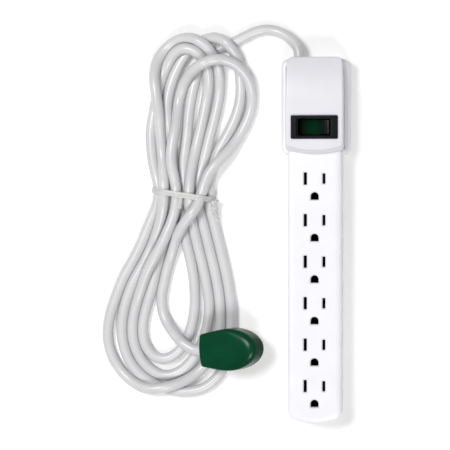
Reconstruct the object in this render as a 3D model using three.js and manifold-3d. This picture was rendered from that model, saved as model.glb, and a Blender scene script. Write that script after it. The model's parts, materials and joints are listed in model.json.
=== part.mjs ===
// A six-outlet power strip lying on its back, with its mains cord tied into a hank beside it.
// Millimetres, +Z up. The strip's long axis is Y: the cord leaves the +Y end and the outlets face +Z.
// The origin is under the middle of the strip, on the surface that it lies on.
import * as THREE from "three";
import { mergeVertices } from "three/addons/utils/BufferGeometryUtils.js";
import Module from "manifold-3d";

const wasm = await Module();
wasm.setup();

// ---------------------------------------------------------------- driving dimensions

const GAP = 0.3; // clearance between pieces that touch on the bench
const WALL = 2; // wall of every moulded shell

const STRIP_LENGTH = 250;
const BODY_WIDTH = 36.4;
const BODY_TOP = 26; // height of the outlet face
const END_BULGE = 2.4; // how far the lower end bows out beyond its corners
const END_CORNER = 4.5;
const PARTING = 9.5; // height at which the rear and front shells meet

const HEAD_WIDTH = 47;
const HEAD_TOP = 18;
const HEAD_LOW_Y = 58;
const HEAD_HIGH_Y = 124.3;
const HEAD_CORNER = 5.5;

const HOOD_WIDTH = 39.4;
const HOOD_TOP = 30;
const HOOD_LOW_Y = 58.2;
const HOOD_HIGH_Y = STRIP_LENGTH / 2;
const HOOD_SLOPE = 3.3; // run of the sloped lower end wall
const HOOD_INNER_LOW_Y = 65;

// NEMA 5-15 face: blade slots 12.7 mm apart, earth hole 11.86 mm below them.
const OUTLETS = 6;
const OUTLET_PITCH = 28.3;
const FIRST_OUTLET_Y = 42.2;
const SLOT_X = 6.35;
const NEUTRAL_SLOT = [2.2, 8.4];
const HOT_SLOT = [2.0, 7.1];
const EARTH_DROP = 11.86;
const EARTH_HOLE_RADIUS = 2.75;
const EARTH_HOLE_BOTTOM = 2.6; // flat side of the D, below its centre
const EARTH_HOLE_ARC_DROP = 0.15;

const BAR_BOTTOM = 7;
const BAR_THICK = 0.8;
const BAR_TOP = BAR_BOTTOM + BAR_THICK;
const BAR_HIGH_Y = 56;
const BAR_LOW_Y = -114.5;
const BAR_X = 6.9; // middle of the hot and neutral bars
const BAR_WIDTH = 4.6;
const CLIP_TOP = 21.5;

const SCREW_PLACES = [
  [-19, 90],
  [19, 90],
  [-13.4, -3],
  [13.4, -3],
  [-13.4, -103],
  [13.4, -103],
];
const SCREW_RADIUS = 1.3;
const SCREW_HEAD_RADIUS = 2.6;
const SCREW_HEAD_Z = 3;
const SCREW_TIP_Z = 15.4;
const BOSS_RADIUS = 3.6;

const KEYHOLE_YS = [60, -90];
const KEYHOLE_RADIUS = 4.25;
const KEYHOLE_NECK = 4.6;
const KEYHOLE_TRAVEL = 8.5;
const KEYHOLE_POCKET_TOP = 5;

const SWITCH_Y = 77.1;
const BEZEL = [32, 16];
const BEZEL_TOP = 31.5;
const SWITCH_CASE = [27.4, 12.6];
const SWITCH_WELL = [22, 11];
const SWITCH_CASE_BOTTOM = 15.6;
const SWITCH_BASE_BOTTOM = 13.8;
const SWITCH_OPENING = [15.5, 98]; // half its width, and where it ends towards the cord
const ROCKER_WIDTH = 10.2;
const ROCKER_RADIUS = 10.6; // the rocker's ends are arcs about its pivot
const ROCKER_PIVOT_Z = 26.5;
const ROCKER_TILT = 9; // degrees either side of level
const LEVER_Z = 17.3;
const LEVER_TILT = 5.4;
const TRUNNION_RADIUS = 1.4;
const TERMINAL_X = 8;
const TERMINAL_BOTTOM = 6;
const TERMINAL_PAD_HALF_Y = 1.8;
const TERMINAL_EDGE = 2.4; // half the width of a terminal tab
const TAB_REACH = TERMINAL_EDGE + 2 * GAP; // where a wire meets a tab

const CORD_RADIUS = 3.75;
const CORD_EXIT = new THREE.Vector3(-11.7, 126.2, PARTING);
const CORD_SIDES = 10;
const BUSHING_INNER_Y = 104;

const HANK_BOTTOM = 1.3;
const HANK_TOP = 16; // upper loops and waist, two strands deep
const HANK_LOW_TOP = 8.8; // lower loops, one strand deep
const HANK_STEP_Y = 18;

const TIE_PLACE = new THREE.Vector3(-93.6, 31, 0);
const TIE_SLANT = -9; // degrees in plan
const TIE_WIDTH = 4;
const TIE_THICK = 0.7;
const TIE_HALF_SPAN = 22.4;

const PLUG_PLACE = new THREE.Vector3(-74.2, -75.6, 10.1);
const PLUG_YAW = 3;
const PLUG_LIFT = 19; // the round end is propped up by the pins, the cord end lies on the hank
const PLUG_LENGTH = 42;
const PLUG_THICK = 13.5;
const PLUG_HALF_WIDTH = 14.4;
const PLUG_CORD_HALF_WIDTH = 10.5;
const PLUG_SHOULDER_X = 20;
const BLADE_X = 19;
const BLADE_WIDTH = 6.35;
const BLADE_THICK = 1.5;
const BLADE_LENGTH = 16;
const EARTH_PIN_RADIUS = 2.4;
const EARTH_PIN_LENGTH = 20.6;
const PIN_ROOT = 4; // how deep the pins sit in the plug

const degrees = THREE.MathUtils.degToRad;

// ---------------------------------------------------------------- materials

function material(color, roughness, metalness = 0) {
  return new THREE.MeshStandardMaterial({ color, roughness, metalness });
}

const WHITE_PLASTIC = material(0xf1f1f4, 0.4);
const HOOD_PLASTIC = material(0xe6e6ec, 0.38);
const BLACK_PLASTIC = material(0x141416, 0.45);
const GREEN_LENS = material(0x06331a, 0.2);
const GREEN_VINYL = material(0x00502f, 0.3);
const CORD_VINYL = material(0xdcdcda, 0.42);
const TIE_PAPER = material(0xdedcd6, 0.6);
const BRASS = material(0xc9a04e, 0.32, 1);
const STEEL = material(0xb8b8bc, 0.35, 1);
const GLASS = material(0xf4d8b8, 0.1);
const RESISTOR = material(0xc8a878, 0.6);
const BLACK_WIRE = material(0x1a1a1a, 0.5);
const WHITE_WIRE = material(0xeeeeee, 0.5);
const GREEN_WIRE = material(0x1f7a3d, 0.5);

// ---------------------------------------------------------------- geometry helpers

function toSolid(geometry) {
  const bare = geometry.clone();
  bare.deleteAttribute("normal");
  bare.deleteAttribute("uv");
  const merged = mergeVertices(bare, 1e-4);
  const mesh = new wasm.Mesh({
    numProp: 3,
    vertProperties: merged.attributes.position.array,
    triVerts: new Uint32Array(merged.index.array),
  });
  return new wasm.Manifold(mesh);
}

function toGeometry(solid) {
  const mesh = solid.getMesh();
  const geometry = new THREE.BufferGeometry();
  geometry.setAttribute("position", new THREE.BufferAttribute(mesh.vertProperties, 3));
  geometry.setIndex(new THREE.BufferAttribute(mesh.triVerts, 1));
  return geometry;
}

function join(geometries) {
  return toGeometry(geometries.map(toSolid).reduce((whole, next) => whole.add(next)));
}

function cut(geometry, tools) {
  return toGeometry(tools.map(toSolid).reduce((left, tool) => left.subtract(tool), toSolid(geometry)));
}

function common(geometry, other) {
  return toGeometry(toSolid(geometry).intersect(toSolid(other)));
}

function box(x, y, z) {
  const geometry = new THREE.BoxGeometry(x[1] - x[0], y[1] - y[0], z[1] - z[0]);
  return geometry.translate((x[0] + x[1]) / 2, (y[0] + y[1]) / 2, (z[0] + z[1]) / 2);
}

function extrudeUp(shape, bottom, top, curveSegments = 8) {
  const settings = { depth: top - bottom, bevelEnabled: false, curveSegments };
  return new THREE.ExtrudeGeometry(shape, settings).translate(0, 0, bottom);
}

// A shape drawn in X and Z, extruded along Y about the middle.
function extrudeAcross(shape, width, curveSegments = 8) {
  const settings = { depth: width, bevelEnabled: false, curveSegments };
  return new THREE.ExtrudeGeometry(shape, settings).translate(0, 0, -width / 2).rotateX(Math.PI / 2);
}

function post(radius, x, y, bottom, top, sides = 16) {
  const geometry = new THREE.CylinderGeometry(radius, radius, top - bottom, sides);
  return geometry.rotateX(Math.PI / 2).translate(x, y, (bottom + top) / 2);
}

// A rod along Y.
function rodAlongY(radius, y, x, z, sides = 16) {
  const geometry = new THREE.CylinderGeometry(radius, radius, y[1] - y[0], sides);
  return geometry.translate(x, (y[0] + y[1]) / 2, z);
}

// A rod along X.
function rodAlongX(radius, x, y, z, sides = 12) {
  const geometry = new THREE.CylinderGeometry(radius, radius, x[1] - x[0], sides);
  return geometry.rotateZ(Math.PI / 2).translate((x[0] + x[1]) / 2, y, z);
}

function roundSection(radius, sides) {
  const points = [];
  for (let i = 0; i < sides; i++) {
    const angle = ((i + 0.5) / sides) * 2 * Math.PI;
    points.push(new THREE.Vector2(radius * Math.cos(angle), radius * Math.sin(angle)));
  }
  return new THREE.Shape(points);
}

function tube(points, radius, sides, steps) {
  const path = new THREE.CatmullRomCurve3(points.map((point) => new THREE.Vector3(...point)));
  const settings = { steps, extrudePath: path, bevelEnabled: false };
  return new THREE.ExtrudeGeometry(roundSection(radius, sides), settings);
}

function roundedRectangle(halfX, lowY, highY, radius) {
  const shape = new THREE.Shape();
  shape.absarc(halfX - radius, highY - radius, radius, 0, Math.PI / 2);
  shape.absarc(radius - halfX, highY - radius, radius, Math.PI / 2, Math.PI);
  shape.absarc(radius - halfX, lowY + radius, radius, Math.PI, 1.5 * Math.PI);
  shape.absarc(halfX - radius, lowY + radius, radius, 1.5 * Math.PI, 2 * Math.PI);
  shape.closePath();
  return shape;
}

const object = new THREE.Group();

function addMesh(name, geometry, look, parent = object) {
  const mesh = new THREE.Mesh(geometry, look);
  mesh.name = name;
  parent.add(mesh);
  return mesh;
}

// ---------------------------------------------------------------- outlines of the strip

// The long body: straight sides, and a lower end that bows out between two rounded corners.
function bodyOutline(inset, topY) {
  const half = BODY_WIDTH / 2 - inset;
  const endY = -STRIP_LENGTH / 2 + inset;
  const cornerX = half - END_CORNER;
  const arcY = endY + END_BULGE;
  const cornerY = arcY + (END_CORNER * 2 * END_BULGE) / cornerX;
  const shape = new THREE.Shape();
  shape.moveTo(half, topY);
  shape.lineTo(-half, topY);
  shape.lineTo(-half, cornerY + END_CORNER);
  shape.quadraticCurveTo(-half, cornerY, -cornerX, arcY);
  shape.quadraticCurveTo(0, endY - END_BULGE, cornerX, arcY);
  shape.quadraticCurveTo(half, cornerY, half, cornerY + END_CORNER);
  shape.closePath();
  return shape;
}

function headOutline(inset) {
  const halfX = HEAD_WIDTH / 2 - inset;
  return roundedRectangle(halfX, HEAD_LOW_Y + inset, HEAD_HIGH_Y - inset, HEAD_CORNER - inset);
}

// The hood's foot: square corners towards the cord are rounded, the lower end is a shallow arc.
function hoodOutline() {
  const half = HOOD_WIDTH / 2;
  const radius = 4;
  const sideY = HOOD_LOW_Y + HOOD_SLOPE;
  const shape = new THREE.Shape();
  shape.absarc(half - radius, HOOD_HIGH_Y - radius, radius, 0, Math.PI / 2);
  shape.absarc(radius - half, HOOD_HIGH_Y - radius, radius, Math.PI / 2, Math.PI);
  shape.lineTo(-half, sideY);
  shape.quadraticCurveTo(0, HOOD_LOW_Y - HOOD_SLOPE, half, sideY);
  shape.closePath();
  return shape;
}

function outletYs() {
  return Array.from({ length: OUTLETS }, (_, i) => FIRST_OUTLET_Y - i * OUTLET_PITCH);
}

// ---------------------------------------------------------------- shells

function keyholeTools(y) {
  const below = -1;
  const half = KEYHOLE_NECK / 2;
  return [
    post(KEYHOLE_RADIUS, 0, y, below, KEYHOLE_POCKET_TOP, 24),
    box([-half, half], [y, y + KEYHOLE_TRAVEL], [below, KEYHOLE_POCKET_TOP]),
    post(half, 0, y + KEYHOLE_TRAVEL, below, KEYHOLE_POCKET_TOP),
  ];
}

// The box moulded over a keyhole, which keeps a wall screw away from the bars.
function keyholePocket(y) {
  const margin = KEYHOLE_RADIUS + 1.4;
  const highY = y + KEYHOLE_TRAVEL + KEYHOLE_NECK / 2 + 1.4;
  return box([-margin, margin], [y - margin, highY], [WALL / 2, KEYHOLE_POCKET_TOP + 1]);
}

function screwHoleTools([x, y]) {
  const clearance = SCREW_RADIUS + GAP;
  return [
    post(SCREW_HEAD_RADIUS + GAP, x, y, -1, SCREW_HEAD_Z + 2.4),
    post(clearance, x, y, 1, PARTING + 1, 12),
  ];
}

// Ribs that keep the three bars apart and carry them.
function barRibs() {
  const ribs = [];
  for (const x of [-3.8, 3.8]) {
    ribs.push(box([x - 0.5, x + 0.5], [BAR_LOW_Y - 2, BAR_HIGH_Y - 7], [WALL / 2, PARTING - 1]));
  }
  for (let i = 0; i < OUTLETS - 1; i++) {
    const y = FIRST_OUTLET_Y - (i + 0.72) * OUTLET_PITCH;
    ribs.push(box([-9.5, 9.5], [y - 0.6, y + 0.6], [WALL / 2, BAR_BOTTOM - GAP]));
  }
  return ribs;
}

function cordHole() {
  return rodAlongY(CORD_RADIUS + 1.3, [HEAD_HIGH_Y - 4, HEAD_HIGH_Y + 4], CORD_EXIT.x, CORD_EXIT.z, 24);
}

function rearHousing() {
  const outer = join([
    extrudeUp(bodyOutline(0, HEAD_LOW_Y + 4), 0, PARTING),
    extrudeUp(headOutline(0), 0, PARTING),
  ]);
  const tray = cut(outer, [
    extrudeUp(bodyOutline(WALL, HEAD_LOW_Y + 5), WALL, PARTING + 1),
    extrudeUp(headOutline(WALL), WALL, PARTING + 1),
  ]);
  const bosses = SCREW_PLACES.map(([x, y]) => post(BOSS_RADIUS, x, y, WALL / 2, PARTING));
  const fitted = join([tray, ...bosses, ...barRibs(), ...KEYHOLE_YS.map(keyholePocket)]);
  const tools = [cordHole()];
  SCREW_PLACES.forEach((place) => tools.push(...screwHoleTools(place)));
  KEYHOLE_YS.forEach((y) => tools.push(...keyholeTools(y)));
  return cut(fitted, tools);
}

function slotTool(x, y, [width, length]) {
  const z = [BODY_TOP - 4, BODY_TOP + 1];
  return box([x - width / 2, x + width / 2], [y - length / 2, y + length / 2], z);
}

// The earth hole is a D with its round side towards the blade slots.
function earthHoleTool(y) {
  const shape = new THREE.Shape();
  shape.moveTo(-EARTH_HOLE_RADIUS, y - EARTH_HOLE_BOTTOM);
  shape.lineTo(EARTH_HOLE_RADIUS, y - EARTH_HOLE_BOTTOM);
  shape.absarc(0, y - EARTH_HOLE_ARC_DROP, EARTH_HOLE_RADIUS, 0, Math.PI);
  shape.closePath();
  return extrudeUp(shape, BODY_TOP - 4, BODY_TOP + 1);
}

function outletTools(y) {
  return [
    slotTool(-SLOT_X, y, NEUTRAL_SLOT),
    slotTool(SLOT_X, y, HOT_SLOT),
    earthHoleTool(y - EARTH_DROP),
  ];
}

function frontHousing() {
  const bottom = PARTING + GAP;
  const underHoodY = HEAD_LOW_Y + 4;
  const [openingX, openingY] = SWITCH_OPENING;
  const outer = join([
    extrudeUp(bodyOutline(0, underHoodY), bottom, BODY_TOP),
    extrudeUp(headOutline(0), bottom, HEAD_TOP),
  ]);
  const shell = cut(outer, [
    extrudeUp(bodyOutline(WALL, underHoodY + 1), bottom - 1, BODY_TOP - WALL),
    extrudeUp(headOutline(WALL), bottom - 1, HEAD_TOP - WALL),
    box([-openingX, openingX], [underHoodY - 1, openingY], [bottom, HEAD_TOP + 1]),
  ]);
  const bosses = SCREW_PLACES.map(([x, y]) => {
    const ceiling = y > HEAD_LOW_Y ? HEAD_TOP : BODY_TOP;
    return post(BOSS_RADIUS - 1, x, y, bottom, ceiling - WALL / 2);
  });
  const tools = [cordHole()];
  for (const [x, y] of SCREW_PLACES) {
    tools.push(post(SCREW_RADIUS + GAP, x, y, bottom - 1, SCREW_TIP_Z + 1, 12));
  }
  outletYs().forEach((y) => tools.push(...outletTools(y)));
  return cut(join([shell, ...bosses]), tools);
}

// The raised cover over the switch. Its lower end slopes down onto the outlet face.
function switchHood() {
  const half = HOOD_WIDTH / 2;
  const bottom = HEAD_TOP + GAP;
  const slope = new THREE.Shape();
  slope.moveTo(HOOD_LOW_Y - 5, BODY_TOP);
  slope.lineTo(HOOD_LOW_Y, BODY_TOP);
  slope.lineTo(HOOD_LOW_Y + HOOD_SLOPE, HOOD_TOP + 1);
  slope.lineTo(HOOD_LOW_Y - 5, HOOD_TOP + 1);
  slope.closePath();
  const slopeTool = extrudeAcross(slope, 2 * half + 4).rotateZ(Math.PI / 2);
  const bodyHalf = BODY_WIDTH / 2 + GAP;
  const opening = SWITCH_CASE.map((size) => size / 2 + GAP);
  const innerY = [HOOD_INNER_LOW_Y, HOOD_HIGH_Y - WALL];
  return cut(extrudeUp(hoodOutline(), bottom, HOOD_TOP), [
    box([WALL - half, half - WALL], innerY, [bottom - 1, HOOD_TOP - WALL]),
    box([-bodyHalf, bodyHalf], [HOOD_LOW_Y - 5, HOOD_INNER_LOW_Y + 1], [bottom - 1, BODY_TOP + GAP]),
    box(
      [-opening[0], opening[0]],
      [SWITCH_Y - opening[1], SWITCH_Y + opening[1]],
      [HOOD_TOP - 4, HOOD_TOP + 1],
    ),
    slopeTool,
  ]);
}

// ---------------------------------------------------------------- screws

function screw([x, y]) {
  const shank = post(SCREW_RADIUS, x, y, SCREW_HEAD_Z + 1, SCREW_TIP_Z, 8);
  const head = post(SCREW_HEAD_RADIUS, x, y, SCREW_HEAD_Z, SCREW_HEAD_Z + 2.2, 12);
  const arm = 1.7;
  const recess = [
    box([x - arm, x + arm], [y - 0.4, y + 0.4], [SCREW_HEAD_Z - 1, SCREW_HEAD_Z + 1]),
    box([x - 0.4, x + 0.4], [y - arm, y + arm], [SCREW_HEAD_Z - 1, SCREW_HEAD_Z + 1]),
  ];
  return cut(join([shank, head]), recess);
}

// ---------------------------------------------------------------- bus bars

// A flat bar with a pair of upright spring leaves at each outlet.
function busBar({ x, width, highY, clipX, clipHalfGap, leafThick, clipYs, clipLength, clipTop }) {
  const pieces = [box([x - width / 2, x + width / 2], [BAR_LOW_Y, highY], [BAR_BOTTOM, BAR_TOP])];
  for (const y of clipYs) {
    for (const side of [-1, 1]) {
      const inner = clipX + side * clipHalfGap;
      const outer = inner + side * leafThick;
      const leafX = [Math.min(inner, outer), Math.max(inner, outer)];
      const leafY = [y - clipLength / 2, y + clipLength / 2];
      pieces.push(box(leafX, leafY, [BAR_BOTTOM + BAR_THICK / 2, clipTop]));
    }
  }
  return join(pieces);
}

const bladeClip = {
  width: BAR_WIDTH,
  highY: BAR_HIGH_Y,
  clipHalfGap: 1.05,
  leafThick: 0.6,
  clipYs: outletYs(),
  clipLength: 7,
  clipTop: CLIP_TOP,
};
const earthClip = {
  width: 5.8,
  highY: BAR_HIGH_Y - 2,
  clipHalfGap: 2.4,
  leafThick: 0.5,
  clipYs: outletYs().map((y) => y - EARTH_DROP),
  clipLength: 5,
  clipTop: CLIP_TOP - 2,
};

// ---------------------------------------------------------------- switch

// The black frame that shows, in one moulding with the case walls below it.
function switchBezel() {
  const frame = roundedRectangle(BEZEL[0] / 2, -BEZEL[1] / 2, BEZEL[1] / 2, 1);
  const caseX = SWITCH_CASE[0] / 2;
  const caseY = SWITCH_CASE[1] / 2;
  const wellX = SWITCH_WELL[0] / 2;
  const wellY = SWITCH_WELL[1] / 2;
  const bottom = SWITCH_CASE_BOTTOM;
  const outer = join([
    extrudeUp(frame, HOOD_TOP + GAP, BEZEL_TOP, 3),
    box([-caseX, caseX], [-caseY, caseY], [bottom, BEZEL_TOP - 0.5]),
  ]);
  const trunnionHoles = rodAlongY(TRUNNION_RADIUS + GAP, [-8, 8], 0, ROCKER_PIVOT_Z);
  const shell = cut(outer, [
    box([-wellX, wellX], [-wellY, wellY], [bottom - 1, BEZEL_TOP + 1]),
    box([-wellX - 1.2, wellX + 1.2], [-wellY - 0.6, wellY + 0.6], [BEZEL_TOP - 0.7, BEZEL_TOP + 1]),
    trunnionHoles,
  ]);
  return shell.translate(0, SWITCH_Y, 0);
}

function switchBase() {
  const [caseX, caseY] = SWITCH_CASE.map((size) => size / 2);
  const z = [SWITCH_BASE_BOTTOM, SWITCH_CASE_BOTTOM - GAP];
  const plate = box([-caseX, caseX], [SWITCH_Y - caseY, SWITCH_Y + caseY], z);
  const slots = [-TERMINAL_X, 0, TERMINAL_X].map((x) => {
    const halfSlot = TERMINAL_EDGE + GAP;
    return box([x - 0.7, x + 0.7], [SWITCH_Y - halfSlot, SWITCH_Y + halfSlot], [z[0] - 1, z[1] + 1]);
  });
  return cut(plate, slots);
}

// A tab that plugs through the base, with a pad on top for the lever, the strip or the lamp.
function terminal(x, padHalf, padTop) {
  const tabY = [SWITCH_Y - TERMINAL_EDGE, SWITCH_Y + TERMINAL_EDGE];
  const padY = [SWITCH_Y - TERMINAL_PAD_HALF_Y, SWITCH_Y + TERMINAL_PAD_HALF_Y];
  return join([
    box([x - 0.4, x + 0.4], tabY, [TERMINAL_BOTTOM, padTop - 0.2]),
    box([x - padHalf, x + padHalf], padY, [SWITCH_CASE_BOTTOM, padTop]),
  ]);
}

// The rocker about its own pivot, level: a shallow V on top, arcs at both ends, two trunnions.
function rockerGeometry() {
  const crest = 5;
  const valley = 3.4;
  const skirt = -3.5;
  const crestAngle = Math.asin(crest / ROCKER_RADIUS);
  const skirtAngle = Math.asin(skirt / ROCKER_RADIUS);
  const shape = new THREE.Shape();
  shape.moveTo(0, valley);
  shape.lineTo(-ROCKER_RADIUS * Math.cos(crestAngle), crest);
  shape.absarc(0, 0, ROCKER_RADIUS, Math.PI - crestAngle, Math.PI - skirtAngle);
  shape.lineTo(-3, -6);
  shape.lineTo(3, -6);
  shape.absarc(0, 0, ROCKER_RADIUS, skirtAngle, crestAngle);
  shape.closePath();
  const body = extrudeAcross(shape, ROCKER_WIDTH, 6);
  const reach = SWITCH_CASE[1] / 2 - 0.1;
  return join([body, rodAlongY(TRUNNION_RADIUS, [-reach, reach], 0, 0)]);
}

function leverGeometry() {
  const reach = 8.2;
  const bar = box([-reach, reach], [-2.3, 2.3], [0, 0.8]);
  const contacts = [-1, 1].map((side) => post(1, side * (reach - 1.2), 0, -0.4, 0.4, 10));
  return join([bar, ...contacts]);
}

// ---------------------------------------------------------------- wires inside the housing

const WIRE_ROUTES = {
  wire_line: [BLACK_WIRE, 1.3, [
    [-9.8, 95.4, 10.8], [-6.5, 90, 10.4], [-2, 85, 9.6], [0, SWITCH_Y + TAB_REACH, 9.2],
  ]],
  wire_neutral: [WHITE_WIRE, 1.3, [
    [-13.4, 95.4, 10.6], [-12.8, 88, 9.5], [-12, 72, 9], [-10.5, 61, 9.6],
    [-7.5, 56, 9.6], [-BAR_X, 53.5, 9.5],
  ]],
  wire_ground: [GREEN_WIRE, 1.3, [
    [-11.4, 95.2, 7.2], [-7, 89, 7.4], [-4, 82, 7.6], [-4, 70, 7.8], [-1.5, 60, 9], [0, 51, 9.5],
  ]],
  wire_switched: [BLACK_WIRE, 1.3, [
    [-TERMINAL_X, SWITCH_Y - TAB_REACH, 9], [-7.6, 71, 9.4], [-5, 66, 11.8], [0, 62, 12.6],
    [5, 58, 11.4], [BAR_X, 53, 9.5],
  ]],
  wire_lamp: [WHITE_WIRE, 0.9, [
    [TERMINAL_X, SWITCH_Y - TAB_REACH, 9], [7.6, 71, 9.6], [5.4, 66, 13.6], [0, 61, 16.5],
    [-6, 55, 14], [-BAR_X, 48.5, 9.2],
  ]],
};

// ---------------------------------------------------------------- cord, hank, tie

// From the bushing round to the hank, down onto the surface.
const LEAD_ROUTE = [
  [-11.7, 126.8, 9.5], [-11.9, 129.4, 9.3], [-13.2, 132.8, 8.7], [-15.5, 135.9, 7.6],
  [-18.4, 138.7, 6.3], [-22.1, 141.4, 5.2], [-26.4, 143.4, 4.2], [-31, 144.6, 3.8],
  [-36, 144.9, 3.8], [-41, 144, 3.8], [-46, 142, 3.8], [-50.4, 139.6, 3.8], [-54.2, 137.5, 3.8],
];

// From the waist of the hank down into the lower loops, then up over their rim to the plug.
const TAIL_ROUTE = [
  [-89.8, 15.8, 12.9], [-93.8, 9.2, 12.9], [-98, 1.2, 12.5], [-101.8, -7.6, 11.1],
  [-105, -16.6, 8.9], [-107.6, -26, 6.6], [-109, -35.4, 5], [-108.6, -45, 5],
  [-106.2, -53.6, 6.8], [-101.8, -61.2, 9.5], [-96, -67.8, 12], [-89.6, -73, 13.5],
  [-83, -75.9, 14.6], [-76.75, -75.77, 16.35],
];

// The outer shape of the hank in plan: two lobes, drawn in to a waist by the tie.
const HANK_UPPER_LEFT = [
  [-114.6, 44], [-114.8, 70], [-114.4, 100], [-112, 117.5], [-104, 134], [-92, 143], [-78, 144.5],
  [-66, 142], [-56.9, 140.6],
];
const HANK_RIGHT_AND_LOWER = [
  [-54.1, 133.2], [-50, 124], [-45.2, 110.6], [-42.2, 95], [-45.4, 78], [-58, 58.5], [-70.6, 42],
  [-72.4, 31], [-70.6, 14], [-64, -20], [-58.6, -50], [-58.2, -66], [-65, -94], [-84, -104.6],
  [-109, -107.6], [-132, -99], [-146, -80], [-148.6, -61], [-139, -36], [-127, -8], [-119.4, 14],
  [-115.4, 30],
];
// The gap inside the innermost lower loop, where the tail lies.
const HANK_EYE = [
  [-94, 5.5], [-104, -1], [-111.5, -18], [-116.5, -40], [-118, -58], [-112.5, -76], [-104, -78.5],
  [-96, -74.5], [-90.5, -65], [-89, -45], [-90, -20], [-93, 4],
];

function closedShape(...stretches) {
  const shape = new THREE.Shape();
  stretches.forEach((stretch, i) => {
    const points = stretch.map(([x, y]) => new THREE.Vector2(x, y));
    if (i === 0) shape.moveTo(points[0].x, points[0].y);
    else shape.lineTo(points[0].x, points[0].y);
    shape.splineThru(points.slice(1));
  });
  shape.closePath();
  return shape;
}

function cordHank() {
  const edge = closedShape(HANK_UPPER_LEFT, HANK_RIGHT_AND_LOWER).getSpacedPoints(90);
  const eye = closedShape(HANK_EYE).getSpacedPoints(36);
  const above = HANK_TOP + 1;
  const overLowerLoops = box([-160, -40], [-120, HANK_STEP_Y], [HANK_LOW_TOP, above]);
  const gapInLoops = extrudeUp(new THREE.Shape(eye), 0, above);
  return cut(extrudeUp(new THREE.Shape(edge), HANK_BOTTOM, HANK_TOP), [overLowerLoops, gapInLoops]);
}

function cordTie() {
  const low = HANK_BOTTOM - GAP - TIE_THICK;
  const high = HANK_TOP + GAP + TIE_THICK;
  const ring = roundedRectangle(TIE_HALF_SPAN + TIE_THICK, low, high, 1);
  ring.holes.push(roundedRectangle(TIE_HALF_SPAN, low + TIE_THICK, high - TIE_THICK, 1 - TIE_THICK));
  const band = extrudeAcross(ring, TIE_WIDTH, 2);
  const twist = rodAlongY(1.1, [-10, -1], TIE_HALF_SPAN + 1.4, 9, 8).rotateZ(degrees(-TIE_SLANT));
  return join([band, twist]);
}

// A moulded sleeve gripped by both shells, flush outside and tapering along the cord inside.
function cordBushing() {
  const profile = [
    [0, BUSHING_INNER_Y], [4.1, BUSHING_INNER_Y], [5, 116], [6.2, 116], [6.2, 121.9], [4.7, 121.9],
    [4.7, CORD_EXIT.y], [0, CORD_EXIT.y],
  ].map(([radius, y]) => new THREE.Vector2(radius, y));
  return new THREE.LatheGeometry(profile, 20).translate(CORD_EXIT.x, 0, CORD_EXIT.z);
}

// ---------------------------------------------------------------- plug

// In the plug's own frame the cord enters at x = 0 and the pins point down from z = 0.
function plugOutline() {
  const shape = new THREE.Shape();
  shape.moveTo(0, -PLUG_CORD_HALF_WIDTH);
  shape.quadraticCurveTo(PLUG_SHOULDER_X / 2, -PLUG_HALF_WIDTH, PLUG_SHOULDER_X, -PLUG_HALF_WIDTH);
  const endReach = PLUG_LENGTH - PLUG_SHOULDER_X;
  shape.absellipse(PLUG_SHOULDER_X, 0, endReach, PLUG_HALF_WIDTH, -Math.PI / 2, Math.PI / 2);
  shape.quadraticCurveTo(PLUG_SHOULDER_X / 2, PLUG_HALF_WIDTH, 0, PLUG_CORD_HALF_WIDTH);
  shape.closePath();
  return shape;
}

function plugBody() {
  const side = new THREE.Shape();
  side.moveTo(-1, 0);
  side.lineTo(PLUG_LENGTH + 1, 0);
  side.lineTo(PLUG_LENGTH + 1, 4);
  side.lineTo(PLUG_LENGTH, 8);
  side.quadraticCurveTo(PLUG_LENGTH - 1.5, PLUG_THICK, PLUG_LENGTH - 7, PLUG_THICK);
  side.lineTo(-1, PLUG_THICK);
  side.closePath();
  const slab = extrudeUp(plugOutline(), 0, PLUG_THICK, 10);
  const body = common(slab, extrudeAcross(side, 40));
  const pockets = [-SLOT_X, SLOT_X].map((y) => blade(y, GAP));
  return cut(body, [...pockets, earthPin(GAP)]);
}

function blade(y, extra = 0) {
  const halfX = BLADE_WIDTH / 2 + extra;
  const halfY = BLADE_THICK / 2 + extra;
  const root = PIN_ROOT + extra;
  return box([BLADE_X - halfX, BLADE_X + halfX], [y - halfY, y + halfY], [-BLADE_LENGTH, root]);
}

function earthPin(extra = 0) {
  const radius = EARTH_PIN_RADIUS + extra;
  const profile = [
    [0, -EARTH_PIN_LENGTH], [radius * 0.6, 0.4 - EARTH_PIN_LENGTH], [radius, 2 - EARTH_PIN_LENGTH],
    [radius, PIN_ROOT + extra], [0, PIN_ROOT + extra],
  ].map(([r, y]) => new THREE.Vector2(r, y));
  const upright = new THREE.LatheGeometry(profile, 16).rotateX(Math.PI / 2);
  return upright.translate(BLADE_X + EARTH_DROP, 0, 0);
}

// ---------------------------------------------------------------- assembly

addMesh("rear_housing", rearHousing(), WHITE_PLASTIC);
addMesh("front_housing", frontHousing(), WHITE_PLASTIC);
addMesh("switch_hood", switchHood(), HOOD_PLASTIC);
SCREW_PLACES.forEach((place, i) => addMesh(`housing_screw_${i + 1}`, screw(place), STEEL));

addMesh("bus_bar_hot", busBar({ ...bladeClip, x: BAR_X, clipX: SLOT_X }), BRASS);
addMesh("bus_bar_neutral", busBar({ ...bladeClip, x: -BAR_X, clipX: -SLOT_X }), BRASS);
addMesh("bus_bar_earth", busBar({ ...earthClip, x: 0, clipX: 0 }), BRASS);

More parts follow.
